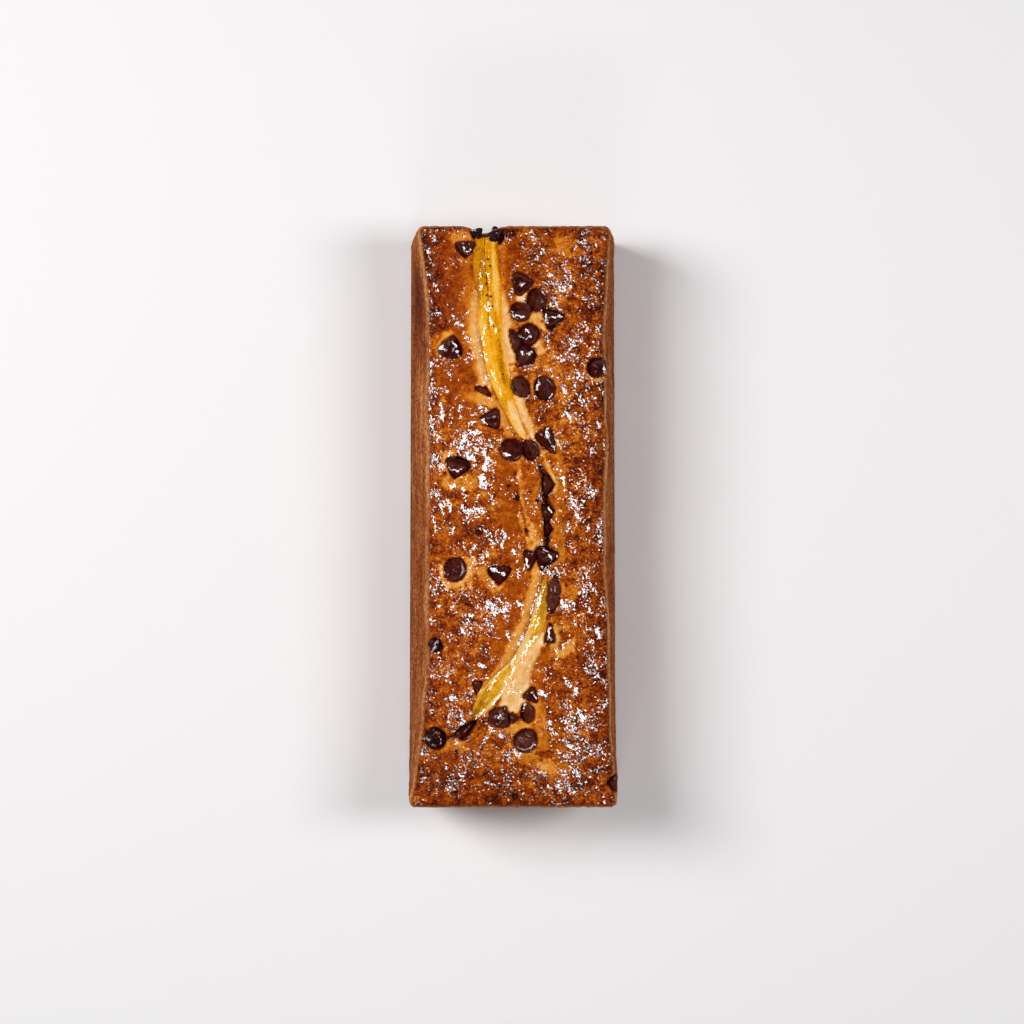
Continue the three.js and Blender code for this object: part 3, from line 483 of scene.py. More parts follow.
# Channels that hold the strips and open the splits: a spine, the depth, how far inside the border
# the drop begins, how wide it is, and how much painted shade darkens the crust inside.
channels = [
    (upperBanana["spine"], 3.4, 0.35, 0.7, 0.1), (lowerBanana["spine"], 3.2, 0.3, 0.7, 0.1),
    (splits[0], 4.2, -0.1, 1.3, 0.3), (splits[1], 3, -0.1, 1.1, 0.3),
]
crustLook = {  # the noises are given by height, size and seed
    "across": 140, "along": 470, "wallRows": 24,
    "warp": 1.1, "warpX": [(1.5, 3.6, 61), (0.8, 1.5, 62)], "warpY": [(1.5, 3.6, 71), (0.8, 1.5, 72)],
    "relief": [(0.5, 2.1, 6), (0.2, 1.15, 7)],
    "bake": 0.6, "clouds": [(0.16, 13, 1), (0.16, 5, 2)], "mottles": [(0.13, 2.4, 4), (0.07, 1.1, 5)],
    "grain": 0.85, "grainNoise": [(0.8, 10, 3)],
    "wellDepth": 0.55, "wellRim": 0.2, "ragged": 0.55, "raggedReach": 2.5, "strokeBend": 1.5,
}


def flakeShare(flakes, x, y):
    # 1 well inside a stroke, 0.5 on its border and 0 outside. The strokes are bent by noise.
    flat = np.column_stack([x, y, np.zeros_like(x)])
    bentX = x + crustLook["strokeBend"] * unevenness(flat, 1.5, 91)
    bentY = y + crustLook["strokeBend"] * unevenness(flat, 1.5, 92)
    share = np.zeros_like(x)
    for half, *line in flakes:
        spine = [(*line[k:k + 2], half) for k in range(0, len(line), 2)]
        away = distanceToStrip(spine, bentX, bentY, reach=2, steps=24)
        share = np.maximum(share, np.clip(0.5 - away / 0.8, 0, 1))
    return share


def crustSurface(x, y):
    # The solids' form, then patches, pebbly relief, pores, creases, channels and the chips' wells
    # in turn. The patches' borders are bent by slow noise, so that none runs cleanly.
    flat = np.column_stack([x, y, np.zeros_like(x)])
    form = crustForm(x, y)
    inset = insetFromEdge(x, y)
    bentX = x + crustLook["warp"] * layered(flat, crustLook["warpX"])
    bentY = y + crustLook["warp"] * layered(flat, crustLook["warpY"])
    # browner at the outline, at the right and at the near end, and coarser at the right
    bake = crustLook["bake"] + layered(flat, crustLook["clouds"]) + 0.1 * bell(inset, 3)
    bake += 0.04 * ease(x, 14, 34) + 0.05 * ease(-y, 84, 112)
    grain = crustLook["grain"] + layered(flat, crustLook["grainNoise"]) + 0.3 * ease(x, 0, 20)
    lift = np.zeros_like(x)
    for ownBake, ownGrain, soft, ownLift, spine in patches:
        share = 1 - ease(distanceToStrip(spine, bentX, bentY, reach=10, steps=60), 0, soft)
        bake += share * (ownBake - bake)
        grain += share * (ownGrain - grain)
        lift += share * ownLift
    bake += layered(flat, crustLook["mottles"])
    relief = layered(np.column_stack([bentX, bentY, 0 * x]), crustLook["relief"])
    height = form + lift + relief * np.clip(grain, 0.12, 1.2) * ease(inset, -0.5, 2)
    # each pore sinks the crust and paints it darker there, painted shade in the hole
    for placeX, placeY, radius, depth in pores:
        away = np.hypot(x - placeX, y - placeY)
        height -= depth * bell(away, radius)
        bake += 0.6 * bell(away, radius)
    # each crease sinks the crust and paints it darker, painted shade in the crease
    for spine, depth in creases:
        away = distanceToStrip(spine, x, y, reach=6, steps=60)
        height -= depth * bell(np.maximum(away, 0), 0.5)
        bake += 0.3 * bell(np.maximum(away, 0), 0.4)
    # each channel sinks the crust and darkens it inside with painted shade
    for spine, depth, inner, drop, dark in channels:
        away = distanceToStrip(spine, x, y)
        height -= 0.4 * (1 - ease(away, 0, 1.4)) + depth * ease(-away, inner, inner + drop)
        bake += dark * ease(-away, inner, 1.3)
    # a well drops round a chip's outline, painted dark inside as shade in the gap at the chip's
    # foot, with a low, paler rim a millimetre out
    for one in chips:
        clearance, top = chipSilhouette(one, x, y, height)
        sunk = np.where(clearance > 0, np.minimum(height, top - crustLook["wellDepth"]), height - 0.5)
        height += crustLook["wellRim"] * bell(clearance + 1.1, 0.7)
        height += ease(clearance, -0.4, 0.15) * (sunk - height)
        bake -= 0.07 * bell(clearance + 1.2, 0.8)
        bake += 0.35 * ease(clearance, -0.3, 0.1)
    crowd = 0.05 * np.clip(grain, 0, 1)
    crowd += sum(more * bell(np.hypot(x - placeX, y - placeY), radius)
                 for placeX, placeY, radius, more in glitter)
    return height, np.clip(bake, 0, 1), np.clip(grain, 0, 1.3), crowd * ease(bake, 0.2, 0.45)


def gridQuads(rows, columns, closed=False):
    # Corners of each cell of a grid of points, row by row; closed joins the last column to the
    # first.
    cells = columns if closed else columns - 1
    row, column = np.meshgrid(np.arange(rows - 1), np.arange(cells), indexing="ij")
    here, beside = row * columns + column, row * columns + (column + 1) % columns
    return np.stack([here, beside, beside + columns, here + columns], -1).reshape(-1, 4)


def makePiece(name, points, faces, attributes, material, smooth=True):
    mesh = bpy.data.meshes.new(name)
    mesh.from_pydata((points / 1000).tolist(), [], [list(map(int, face)) for face in faces])
    for key, values in attributes.items():
        kind, field = ("FLOAT", "value") if values.ndim == 1 else ("FLOAT_VECTOR", "vector")
        mesh.attributes.new(key, kind, "POINT").data.foreach_set(field, values.astype(np.float32).ravel())
    mesh.polygons.foreach_set("use_smooth", np.full(len(mesh.polygons), smooth))
    mesh.materials.append(material)
    mesh.validate()
    mesh.update()
    piece = bpy.data.objects.new(name, mesh)
    bpy.context.scene.collection.objects.link(piece)
    return piece


def roundedPoints(u, v, left, right, length):
    # Shares from -1 to 1 of a rectangle's half-sizes; the square at each corner is bent into a
    # quarter disc.
    x, y = (left + right) / 2 + u * (right - left) / 2, v * length / 2
    radius = loaf["cornerRadius"]
    a = np.maximum(1 - np.minimum(x - left, right - x) / radius, 0)
    b = np.maximum(1 - (length / 2 - np.abs(y)) / radius, 0)
    corner = (a > 0) & (b > 0)
    inX = np.where(corner, radius * a * (1 - np.sqrt(np.maximum(1 - b * b / 2, 0))), 0)
    inY = np.where(corner, radius * b * (1 - np.sqrt(np.maximum(1 - a * a / 2, 0))), 0)
    return x - np.sign(u) * inX, y - np.sign(v) * inY


wall = {
    "lean": 1.25, "rowPower": 0.94, "pleat": 0.3, "pleatLength": 12, "baseRoll": 0.8, "innerRing": 5,
    "relief": [(0.5, (16, 16, 4.2), 11), (0.34, (2.6, 3.6, 1.9), 12)],
    "blotches": [(0.2, (14, 24, 12), 81), (0.16, (5, 9, 3), 82)],
    # on the left wall: how much lighter, then y with its reach and z with its reach
    "stretches": [(0.2, 46, 10, 44, 9), (-0.3, 88, 16, 28, 16)],
}


def wallTone(points):
    # 0.5, lighter in a strip under the crust's edge, darker at the foot as painted shade by the floor,
    # with slow blotches, and with a pale and a darker stretch on the left wall.
    x, y, z = points.T
    tone = 0.5 + 0.22 * bell(z - 52.5, 3.2) - 0.3 * bell(z, 2.2)
    tone += layered(points, wall["blotches"])
    for more, placeY, reachY, placeZ, reachZ in wall["stretches"]:
        tone += more * bell(y - placeY, reachY) * bell(z - placeZ, reachZ) * (x < 0)
    return tone


def makeCake(material):
    # A grid for the crust, rows that carry its border down to the base's outline, and two rings
    # and a centre point that close the base.
    columns, rows = crustLook["across"] + 1, crustLook["along"] + 1
    u, v = np.meshgrid(np.linspace(-1, 1, columns), np.linspace(-1, 1, rows))
    u, v = u.ravel(), v.ravel()
    x, y = roundedPoints(u, v, *crustEdges(v * loaf["length"] / 2), loaf["length"])
    y = y * endAt(x, v) / (loaf["length"] / 2)
    z, bake, grain, crowd = crustSurface(x, y)
    flat = np.column_stack([x, y, 0 * z])
    ragged = crustLook["ragged"] * (1 - ease(insetFromEdge(x, y), 0, crustLook["raggedReach"]))
    x = x + ragged * unevenness(flat, 2.6, 51)
    y = y + ragged * unevenness(flat, 2.3, 52)
    index = np.arange(rows * columns).reshape(rows, columns)
    border = np.concatenate([index[0, :-1], index[:-1, -1], index[-1, :0:-1], index[:0:-1, 0]])
    top = np.column_stack([x, y, z])
    far, near = loaf["baseHalfFar"], loaf["baseHalfNear"]
    half = (far + near + v[border] * (far - near)) / 2
    baseX, baseY = roundedPoints(u[border], v[border], -half, half, loaf["baseLength"])
    ahead = np.roll(top[border], -1, 0) - np.roll(top[border], 1, 0)
    outward = np.column_stack([ahead[:, 1], -ahead[:, 0], np.zeros(len(border))])
    outward /= np.linalg.norm(outward, axis=1)[:, None]
    shares = np.linspace(1, 0, crustLook["wallRows"] + 1)[1:, None] ** wall["rowPower"]
    lean = shares ** wall["lean"]
    waved = np.sin(y[border] / wall["pleatLength"] + shares * 3)
    pleat = wall["pleat"] * waved * np.sin(np.pi * shares)
    wallX = baseX + (x[border] - baseX) * lean - np.sign(x[border]) * pleat
    wallY = baseY + (y[border] - baseY) * lean
    wallZ = np.maximum(z[border] * shares, wall["baseRoll"] * (1 - shares))
    walls = np.stack([wallX, wallY, wallZ], -1).reshape(-1, 3)
    rough = layered(walls, wall["relief"])
    rough *= ease(walls[:, 2], 0.5, 4) * np.repeat(ease(1 - shares[:, 0], 0, 0.09), len(border))
    walls += rough[:, None] * np.tile(outward, (len(shares), 1))
    rim = walls[-len(border):]
    rings = []
    for inset in (wall["baseRoll"], wall["innerRing"]):
        ring = rim - outward * inset
        ring[:, 2] = 0
        rings.append(ring)
    points = np.vstack([top, walls, *rings, [[0, 0, 0]]])
    count = len(border)
    below = len(top) + np.arange((len(shares) + len(rings)) * count).reshape(-1, count)
    loops = np.vstack([border, below])
    quads = gridQuads(*loops.shape, closed=True)
    side = loops.ravel()[quads][:, [0, 3, 2, 1]]
    last = loops[-1]
    centre = np.column_stack([np.full(count, len(points) - 1), np.roll(last, -1), last])
    crust = gridQuads(rows, columns)
    total = len(points)
    attributes = {"bake": np.full(total, 0.5), "grain": np.full(total, 0.6), "side": np.ones(total),
                  "gleam": np.zeros(total), "crowd": np.zeros(total)}
    attributes["bake"][len(top):len(top) + len(walls)] = wallTone(walls)
    attributes["bake"][:len(top)] = bake
    attributes["grain"][:len(top)] = grain
    attributes["crowd"][:len(top)] = crowd
    attributes["side"][:len(top)] = 1 - ease(insetFromEdge(x, y), 0.1, 1.1)
    attributes["gleam"][:len(top)] = flakeShare(glazeFlakes + fruitFlakes, x, y)
    piece = makePiece("baked_loaf", points, [*crust, *side, *centre], attributes, material)
    report("baked loaf")
    return piece


banana = {
    "stations": 300, "topPoints": 64, "bellyPoints": 12, "flatness": 0.8, "thinBelow": 4,
    "seamPlace": 0.12, "seamWidth": 0.1, "seamDepth": 0.22, "seamLine": 0.035, "seamFade": (0.08, 0.05),
    "fibre": (0.5, 9, 1), "fibreHeight": 0.1, "strand": (1.4, 22, 1), "strandHeight": 0.3,
    "lump": (3, 6, 1), "lumpHeight": 0.3, "flatFrom": 72, "flatTo": 98,
    "ripple": 0.12, "rippleSize": 5, "markBend": 0.7, "markBendSize": (2, 5, 1), "speckle": 1.1,
}
# Colours of the two strips, painted in this order over a golden ground, each with its tone, its
# paleness, the width of its soft border and its spine. tone runs from 0, burnt, through 0.18,
# brown, 0.36, olive, 0.5, gold, and 0.64, bright yellow, to 1, cream. Paleness runs from golden
# and ripe at 0 to a greenish cream at 1. A mark fades where half the width given is negative.
upperMarks = [
    (0.42, 0.12, 3.4, [(-15.2, 113, 2), (-15.2, 100, 2), (-14.6, 90, 1), (-13.8, 82, -1)]),
    (0.42, 0.05, 2.4, [(-12.4, 108, -0.4), (-12, 101, 0.8), (-11.8, 94, 0.4), (-11.4, 86, -0.6)]),
    (0.8, 0.42, 1.1, [(-7.4, 112, 0.3), (-7.1, 100, 0.9), (-6.6, 92, 0.9), (-6.2, 84, 0.3),
                      (-5.8, 78, -1)]),
    (0.36, 0.05, 1.6, [(-5.5, 112, 1), (-4.9, 101, 0.8), (-4.2, 94, -0.4)]),
    (0.46, 0.05, 0.8, [(-8.9, 112, 0), (-8.7, 98, 0), (-8.2, 84, -0.4)]),
    (0.66, 0.05, 1.8, [(-10.8, 90, -0.6), (-10.8, 78, 1), (-10, 70, 1.4), (-8.6, 62, 1.5),
                       (-6.8, 55, 1.4), (-5.2, 50, -0.4)]),
    (0.76, 0.2, 1, [(-12.6, 82, -0.5), (-12.2, 75, 0.5), (-11.4, 67, -0.5)]),
    (0.43, 0.05, 1.3, [(-5.6, 80, -0.5), (-5.1, 72, 0.2), (-4.6, 63, 0.7), (-4, 57, 0.2),
                       (-3.6, 52, -0.8)]),
    (0.84, 0.9, 0.9, [(-4, 84, -0.4), (-3.7, 76, 0.3), (-3.3, 70, 0.5), (-2.4, 63, 0.5),
                      (-1.2, 56, 0.3)]),
    (0.78, 0.6, 1.1, [(-14, 84, -0.3), (-13.9, 76, 0.2), (-12.9, 68, 0.2), (-10.9, 60.6, 0.1),
                      (-9, 51, 0.1)]),
    (0.74, 0.2, 1.2, [(-8, 54, -0.4), (-6.4, 52, 0.8), (-5, 50, 0.9), (-4, 48, -0.4)]),
    (0.5, 0.2, 1.4, [(-5, 47.4, -0.2), (-3, 44.6, 1.2), (-1.4, 42, 0.4), (0, 40, -0.4)]),
    (0.9, 0.7, 1.6, [(-1.2, 45.6, 0.2), (0.9, 40.6, 1.4), (3, 35.6, 1), (4.6, 32, 0.6)]),
    (0.3, 0.05, 1.3, [(-16, 113, 0.3), (-16.2, 102, 0.3), (-14.7, 91, 0.2), (-14.1, 84, -0.6)]),
    (0.3, 0.05, 1.3, [(-5.7, 113, 0.3), (-4.6, 102, 0.3), (-3.8, 94, -0.5)]),
    (0.04, 0.05, 1.4, [(-15, 113.2, 0.5), (-6.4, 113.2, 0.5)]),
]
lowerMarks = [
    (0.42, 0.6, 1.6, [(13.6, -24, 1), (12.4, -33, 0.8), (11.6, -38, 0.5), (10.6, -42, -0.8)]),
    (0.66, 0.5, 1.1, [(8.8, -26, 0.2), (9, -31, 0.7), (8.2, -36, 0.5), (7.4, -40, -0.8)]),
    (0.6, 0.2, 1.2, [(11, -37, -0.4), (9.6, -41.4, 0.9), (8, -46, -0.2)]),
    (0.3, 0.75, 0.6, [(11.4, -23.2, 0), (10.2, -29.4, 0), (8.4, -36.4, 0), (5.4, -44.4, 0),
                      (2.6, -50.4, 0), (0, -55.4, 0)]),
    (0.84, 1, 1.1, [(8.4, -45, -0.5), (6, -49, 0.6), (4, -53, 0.8), (2, -58, 0.6), (0.6, -62, -0.2)]),
    (0.48, 0.6, 0.9, [(2.6, -50, -0.2), (0, -55.6, 0.4), (-3, -60.6, -0.2)]),
    (0.58, 0.45, 1.5, [(-1.6, -60, -0.2), (-5, -66, 1.2), (-7.6, -70, 0.8), (-9.4, -73, -0.5)]),
    (0.88, 1, 1.5, [(0.4, -61, -0.4), (-1, -65, 1.2), (-2.6, -69.4, 1.4), (-5, -72.4, 0.6),
                    (-8, -75, 0.4), (-11, -77.6, 0)]),
    (0.42, 0.7, 1.2, [(-6, -65, -0.4), (-9.6, -70, 0.4), (-13, -74.6, 0.2)]),
    (0.86, 1, 1.8, [(9.2, -32, 0.1), (7.1, -40.2, 0.3), (5, -46.3, 0.3), (2.3, -51.5, 0.2),
                    (-0.8, -56.5, 0.2), (-4.6, -60.6, 0.3), (-9, -64.7, 0.3), (-12.9, -69.4, 0.3)]),
    (0.88, 1, 1.8, [(11.2, -47.6, 0.2), (7, -53.4, 0.3), (3, -59.4, 0.4), (0.4, -64.4, 0.6),
                    (-3.6, -70.6, 0.6), (-8.8, -76.2, 0.3)]),
    (0.26, 0.6, 2, [(-12.4, -75, 0), (-15, -79, 0.8), (-16.6, -82, 1)]),
]


def makeBanana(name, strip, marks, seamEnd, material, seed):
    # A section carried along the spine: above, a low crown that falls off as a high power of the
    # place across, with a seam pressed in up to seamEnd and fibres along it; below, half an ellipse.
    line = splineThrough(strip["spine"], banana["stations"])
    ahead = np.gradient(line[:, :2], axis=0)
    ahead /= np.linalg.norm(ahead, axis=1)[:, None]
    ripple = unevenness(np.column_stack([line[:, :2], 0 * line[:, 0]]), banana["rippleSize"], seed + 7)
    half = line[:, 2:3] * (1 + banana["ripple"] * ripple[:, None])
    level = crustForm(line[:, 0], line[:, 1]) - strip["recess"]
    share = np.minimum(1, half / banana["thinBelow"])
    paces = np.linalg.norm(np.diff(line[:, :2], axis=0), axis=1)
    run = np.concatenate([[0], np.cumsum(paces)])[:, None]
    turnTop = np.linspace(0, np.pi, banana["topPoints"])
    turnBelly = np.linspace(np.pi, 2 * np.pi, banana["bellyPoints"] + 2)[1:-1]
    turn = np.concatenate([turnTop, turnBelly])
    across = np.cos(turn)[None, :] * np.ones_like(half)
    onTop = np.broadcast_to((turn <= np.pi)[None, :], across.shape)
    crown = 1 - np.abs(across) ** 3
    before, after = banana["seamFade"]
    seamed = 1 - ease(run / run[-1], seamEnd - before, seamEnd + after)
    seam = banana["seamDepth"] * bell(across - banana["seamPlace"], banana["seamWidth"]) * seamed
    lay = np.stack([across * half, run + 0 * across, 0 * across], -1).reshape(-1, 3)
    fibres, strands, lumps = (unevenness(lay, banana[key], seed + order).reshape(across.shape)
                              for order, key in enumerate(("fibre", "strand", "lump")))
    flatter = 1 - strip["flatEnd"] * ease(line[:, 1:2], banana["flatFrom"], banana["flatTo"])
    up = strip["crown"] * banana["flatness"] * share * crown * flatter - seam
    threads = banana["fibreHeight"] * fibres + banana["strandHeight"] * strands
    up += share * crown * (threads + banana["lumpHeight"] * lumps)
    down = strip["depth"] * share * np.sin(turn)[None, :]
    z = level[:, None] + np.where(onTop, up, down)
    x = line[:, :1] + ahead[:, 1:] * across * half
    y = line[:, 1:2] - ahead[:, :1] * across * half
    points = np.stack([x, y, z], -1).reshape(-1, 3)
    tone = 0.54 + 0.1 * fibres + 0.14 * strands + 0.08 * lumps
    pale = strip["pale"] + 0.3 * strands
    wavy = np.column_stack([points[:, :2], 0 * points[:, 0]])
    bend = banana["markBend"] * unevenness(wavy, banana["markBendSize"], seed + 5)
    bentX = (points[:, 0] + bend).reshape(across.shape)
    for ownTone, ownPale, soft, spine in marks:
        away = distanceToStrip(spine, bentX, y, reach=6, steps=60)
        held = 0.9 * (1 - ease(away, -0.4, soft))
        tone += held * (ownTone - tone + 0.1 * strands)
        pale += held * (ownPale - pale)
    spotted = 0.55 + 0.9 * unevenness(lay, banana["speckle"], seed + 6).reshape(across.shape)
    darkLine = bell(across - banana["seamPlace"], banana["seamLine"])
    tone -= 0.55 * darkLine * np.clip(spotted, 0, 1) * seamed
    gleam = flakeShare(fruitFlakes, points[:, 0], points[:, 1]) * onTop.ravel()
    ends = points.reshape(len(line), -1, 3)[[0, -1]].mean(1)
    points = np.vstack([points, ends])
    columns = len(turn)
    quads = gridQuads(len(line), columns, closed=True)[:, ::-1]
    ring = np.arange(columns)
    first = np.column_stack([np.full(columns, len(points) - 2), ring, np.roll(ring, -1)])
    lastRing = ring + (len(line) - 1) * columns
    last = np.column_stack([np.full(columns, len(points) - 1), np.roll(lastRing, -1), lastRing])
    attributes = {"tone": np.append(np.clip(tone, 0, 1).ravel(), [0.3, 0.3]),
                  "lay": np.vstack([lay, np.zeros((2, 3))]),
                  "gleam": np.append(gleam, [0, 0]),
                  "pale": np.append(np.clip(pale, 0, 1).ravel(), [0, 0])}
    piece = makePiece(name, points, [*quads, *first, *last], attributes, material)
    fixOutside(piece)
    report(name)
    return piece


def fixOutside(piece):  # turns every face outwards
    mesh = piece.data
    points = readArray(mesh.vertices, "co", 3)
    mesh.calc_loop_triangles()
    corners = points[readArray(mesh.loop_triangles, "vertices", 3, np.int32)]
    volume = np.einsum("ij,ij->i", corners[:, 0], np.cross(corners[:, 1], corners[:, 2])).sum()
    if volume < 0:
        mesh.flip_normals()


def makeChips(material):
    # One drop turned about its axis for each chip: the profile at every angle, swollen unevenly,
    # bent at the tip, and pitted where it is burnt.
    around = chip["around"]
    angle = np.linspace(0, 2 * np.pi, around, endpoint=False)
    radial, rise = profileLine[1:-1, 0], profileLine[1:-1, 1]
    allPoints, allFaces, dust, burn = [], [], [], []
    rings = len(radial)
    quads = gridQuads(rings, around, closed=True)
    ring = np.arange(around)
    low, high = rings * around, rings * around + 1
    floorFan = np.column_stack([np.full(around, low), np.roll(ring, -1), ring])
    tipRing = ring + (rings - 1) * around
    tipFan = np.column_stack([np.full(around, high), tipRing, np.roll(tipRing, -1)])
    for order, one in enumerate(chips):
        random = np.random.default_rng(100 + order)
        rough = chip["rough"].get(one["name"], 0.0)
        dusty = chip["dusty"].get(one["name"], chip["plainDust"])
        phase = random.uniform(0, 2 * np.pi, 3)
        oval, threefold = chip["swell"]
        swell = 1 + oval * np.sin(2 * angle + phase[0]) + threefold * np.sin(3 * angle + phase[1])
        out = (radial[:, None] * swell[None, :]) * one["diameter"]
        bend = chip["tipBend"] * rise[:, None] ** 2 * one["diameter"]
        local = np.stack([out * np.cos(angle) + bend * np.cos(phase[2]),
                          out * np.sin(angle) + bend * np.sin(phase[2]),
                          rise[:, None] * one["length"] + 0 * angle], -1).reshape(-1, 3)
        tipBend = chip["tipBend"] * one["diameter"]
        tip = [tipBend * np.cos(phase[2]), tipBend * np.sin(phase[2]), one["length"]]
        local = np.vstack([local, [[0, 0, profileLine[0, 1] * one["length"]], tip]])
        middle = np.array([0, 0, 0.35 * one["length"]])
        spread = local - middle
        distance = np.linalg.norm(spread, axis=1)[:, None]
        apart = local + 50 * order  # so that no two chips have the same dents
        wave = layered(apart, chip["waves"]) + rough * layered(apart, chip["burntWaves"])
        local = middle + spread * (1 + wave[:, None] * chip["waveShare"] / np.maximum(distance, 1))
        side = np.cross(one["axis"], [0.3, 0.9, 0.2] if abs(one["axis"][2]) > 0.9 else [0, 0, 1])
        side /= np.linalg.norm(side)
        turned = np.stack([side, np.cross(one["axis"], side), one["axis"]])
        allPoints.append(local @ turned + one["base"])
        offset = order * len(local)
        allFaces += [*(quads + offset), *(floorFan + offset), *(tipFan + offset)]
        dust.append(np.full(len(local), dusty))
        burn.append(np.full(len(local), rough))
    points = np.vstack(allPoints)
    wider = [(half * 1.3, *line) for half, *line in chipFlakes]
    attributes = {"dust": np.concatenate(dust), "burn": np.concatenate(burn),
                  "gleam": flakeShare(wider, *points[:, :2].T)}
    piece = makePiece("chocolate_chips", points, allFaces, attributes, material)
    report("chocolate chips")
    return piece


# Seeds in the upper banana: x and y. shape stretches the ball across, along and upwards, and
# level is how far up the fruit's crown they sit.
seeds = {
    "places": [(-10.5, 93.2), (-10.3, 88.6), (-8.7, 88.1), (-8.1, 84.2), (-9.4, 84.2), (-7.6, 76.2),
               (-12.2, 96.3), (-8.9, 100.4), (-9.9, 103.2), (-3.8, 57)],
    "radius": 0.42, "rings": 8, "around": 12, "shape": (0.8, 1.25, 0.7), "level": 0.9,
}


def makeSeeds(material):  # small spheroids, longer along the fruit, pressed into its skin
    polar = np.linspace(0, np.pi, seeds["rings"] + 2)[1:-1]
    angle = np.linspace(0, 2 * np.pi, seeds["around"], endpoint=False)
    ball = np.stack([np.outer(np.sin(polar), np.cos(angle)), np.outer(np.sin(polar), np.sin(angle)),
                     np.outer(np.cos(polar), np.ones_like(angle))], -1).reshape(-1, 3)
    ball = np.vstack([ball, [[0, 0, 1], [0, 0, -1]]]) * seeds["shape"] * seeds["radius"]
    quads = gridQuads(seeds["rings"], seeds["around"], closed=True)[:, ::-1]
    ring = np.arange(seeds["around"])
    cap = np.column_stack([np.full(len(ring), len(ball) - 2), ring, np.roll(ring, -1)])
    tail = ring + (seeds["rings"] - 1) * seeds["around"]
    end = np.column_stack([np.full(len(ring), len(ball) - 1), np.roll(tail, -1), tail])
    places = np.array(seeds["places"])
    level = crustForm(places[:, 0], places[:, 1]) - upperBanana["recess"]
    level = level + upperBanana["crown"] * banana["flatness"] * seeds["level"]
    centres = np.column_stack([places, level])
    points = (centres[:, None, :] + ball[None]).reshape(-1, 3)
    faces = [face + k * len(ball) for k in range(len(places))
             for part in (quads, cap, end) for face in part]
    piece = makePiece("banana_seeds", points, faces, {}, material)
    report("seeds")
    return piece


def paint(code):  # an sRGB hex colour as linear red, green, blue and alpha
    parts = np.array([int(code[k:k + 2], 16) for k in (1, 3, 5)]) / 255
    linear = np.where(parts <= 0.04045, parts / 12.92, ((parts + 0.055) / 1.055) ** 2.4)
    return (*linear.tolist(), 1.0)


def add(owner, kind, gives=None, stops=(), **given):
    # Adds a node to a material or world and returns its first output in use, or the one named by
    # gives. The rest are its properties and its inputs, with __ for a space, or i and a number:
    # an output is linked and a value set. stops are a ramp's places and colours.
    node = owner.node_tree.nodes.new("ShaderNode" + kind)
    for key, value in given.items():
        name = int(key[1:]) if key[1:].isdigit() else key.replace("__", " ")
        if isinstance(name, str) and name not in node.inputs:
            setattr(node, name, value)
        elif isinstance(value, bpy.types.NodeSocket):
            owner.node_tree.links.new(value, node.inputs[name])
        else:
            node.inputs[name].default_value = paint(value) if isinstance(value, str) else value
    for order, (place, code) in enumerate(stops):
        elements = node.color_ramp.elements
        element = elements[order] if order < 2 else elements.new(place)
        element.position, element.color = place, paint(code)
    outputs = [output for output in node.outputs if output.enabled]
    return node.outputs[gives] if gives else outputs[0] if outputs else None


def newMaterial(name):  # an empty material, and its object coordinates in millimetres
    material = bpy.data.materials.new(name)
    material.use_nodes = True
    material.node_tree.nodes.clear()
    where = add(material, "TexCoord", gives="Object")
    return material, add(material, "VectorMath", operation="SCALE", i0=where, Scale=1000.0)


def swung(material, value, patterns):
    # Each pattern swings about a half: value + (pattern - 0.5) * amount, one after the other.
    for pattern, amount in patterns:
        swing = add(material, "Math", operation="SUBTRACT", i0=pattern, i1=0.5)
        value = add(material, "Math", operation="MULTIPLY_ADD", i0=swing, i1=amount, i2=value)
    return value


# Slopes of the glaze's flakes, as x and y: they reflect the left and the right light upwards.
flakeSlopes = [(-0.305, 0.115), (0.26, 0.03)]
eased = {"interpolation_type": "SMOOTHSTEP"}


def strokedFlakes(material, mm, size, ragged):  # the painted strokes, with a frayed and crisp border
    share = add(material, "Attribute", gives="Fac", attribute_name="gleam")
    fray = add(material, "TexNoise", Vector=mm, Scale=1 / size, Roughness=0.6)
    return add(material, "MapRange", **eased, From__Min=0.47, From__Max=0.58,
               Value=swung(material, share, [(fray, ragged)]))


def leaningCoat(material, mm, flakes, height, depth):
    # Inside the flakes the coat leans to one side or the other, by patches of a slow noise; it
    # also follows the fine relief.
    colours = []
    for slope in flakeSlopes:
        leaning = np.array([*slope, 1.0]) / np.linalg.norm([*slope, 1.0])
        colours.append((*(leaning * 0.5 + 0.5).tolist(), 1.0))
    choice = add(material, "TexNoise", Vector=mm, Scale=1 / 4.2, Detail=1.0)
    choice = add(material, "MapRange", **eased, Value=choice, From__Min=0.5, From__Max=0.54)
    lean = add(material, "Mix", data_type="RGBA", i0=choice, i6=colours[0], i7=colours[1])
    tilted = add(material, "NormalMap", space="OBJECT", Color=lean, Strength=flakes)
    return add(material, "Bump", Height=height, Distance=depth, Normal=tilted)


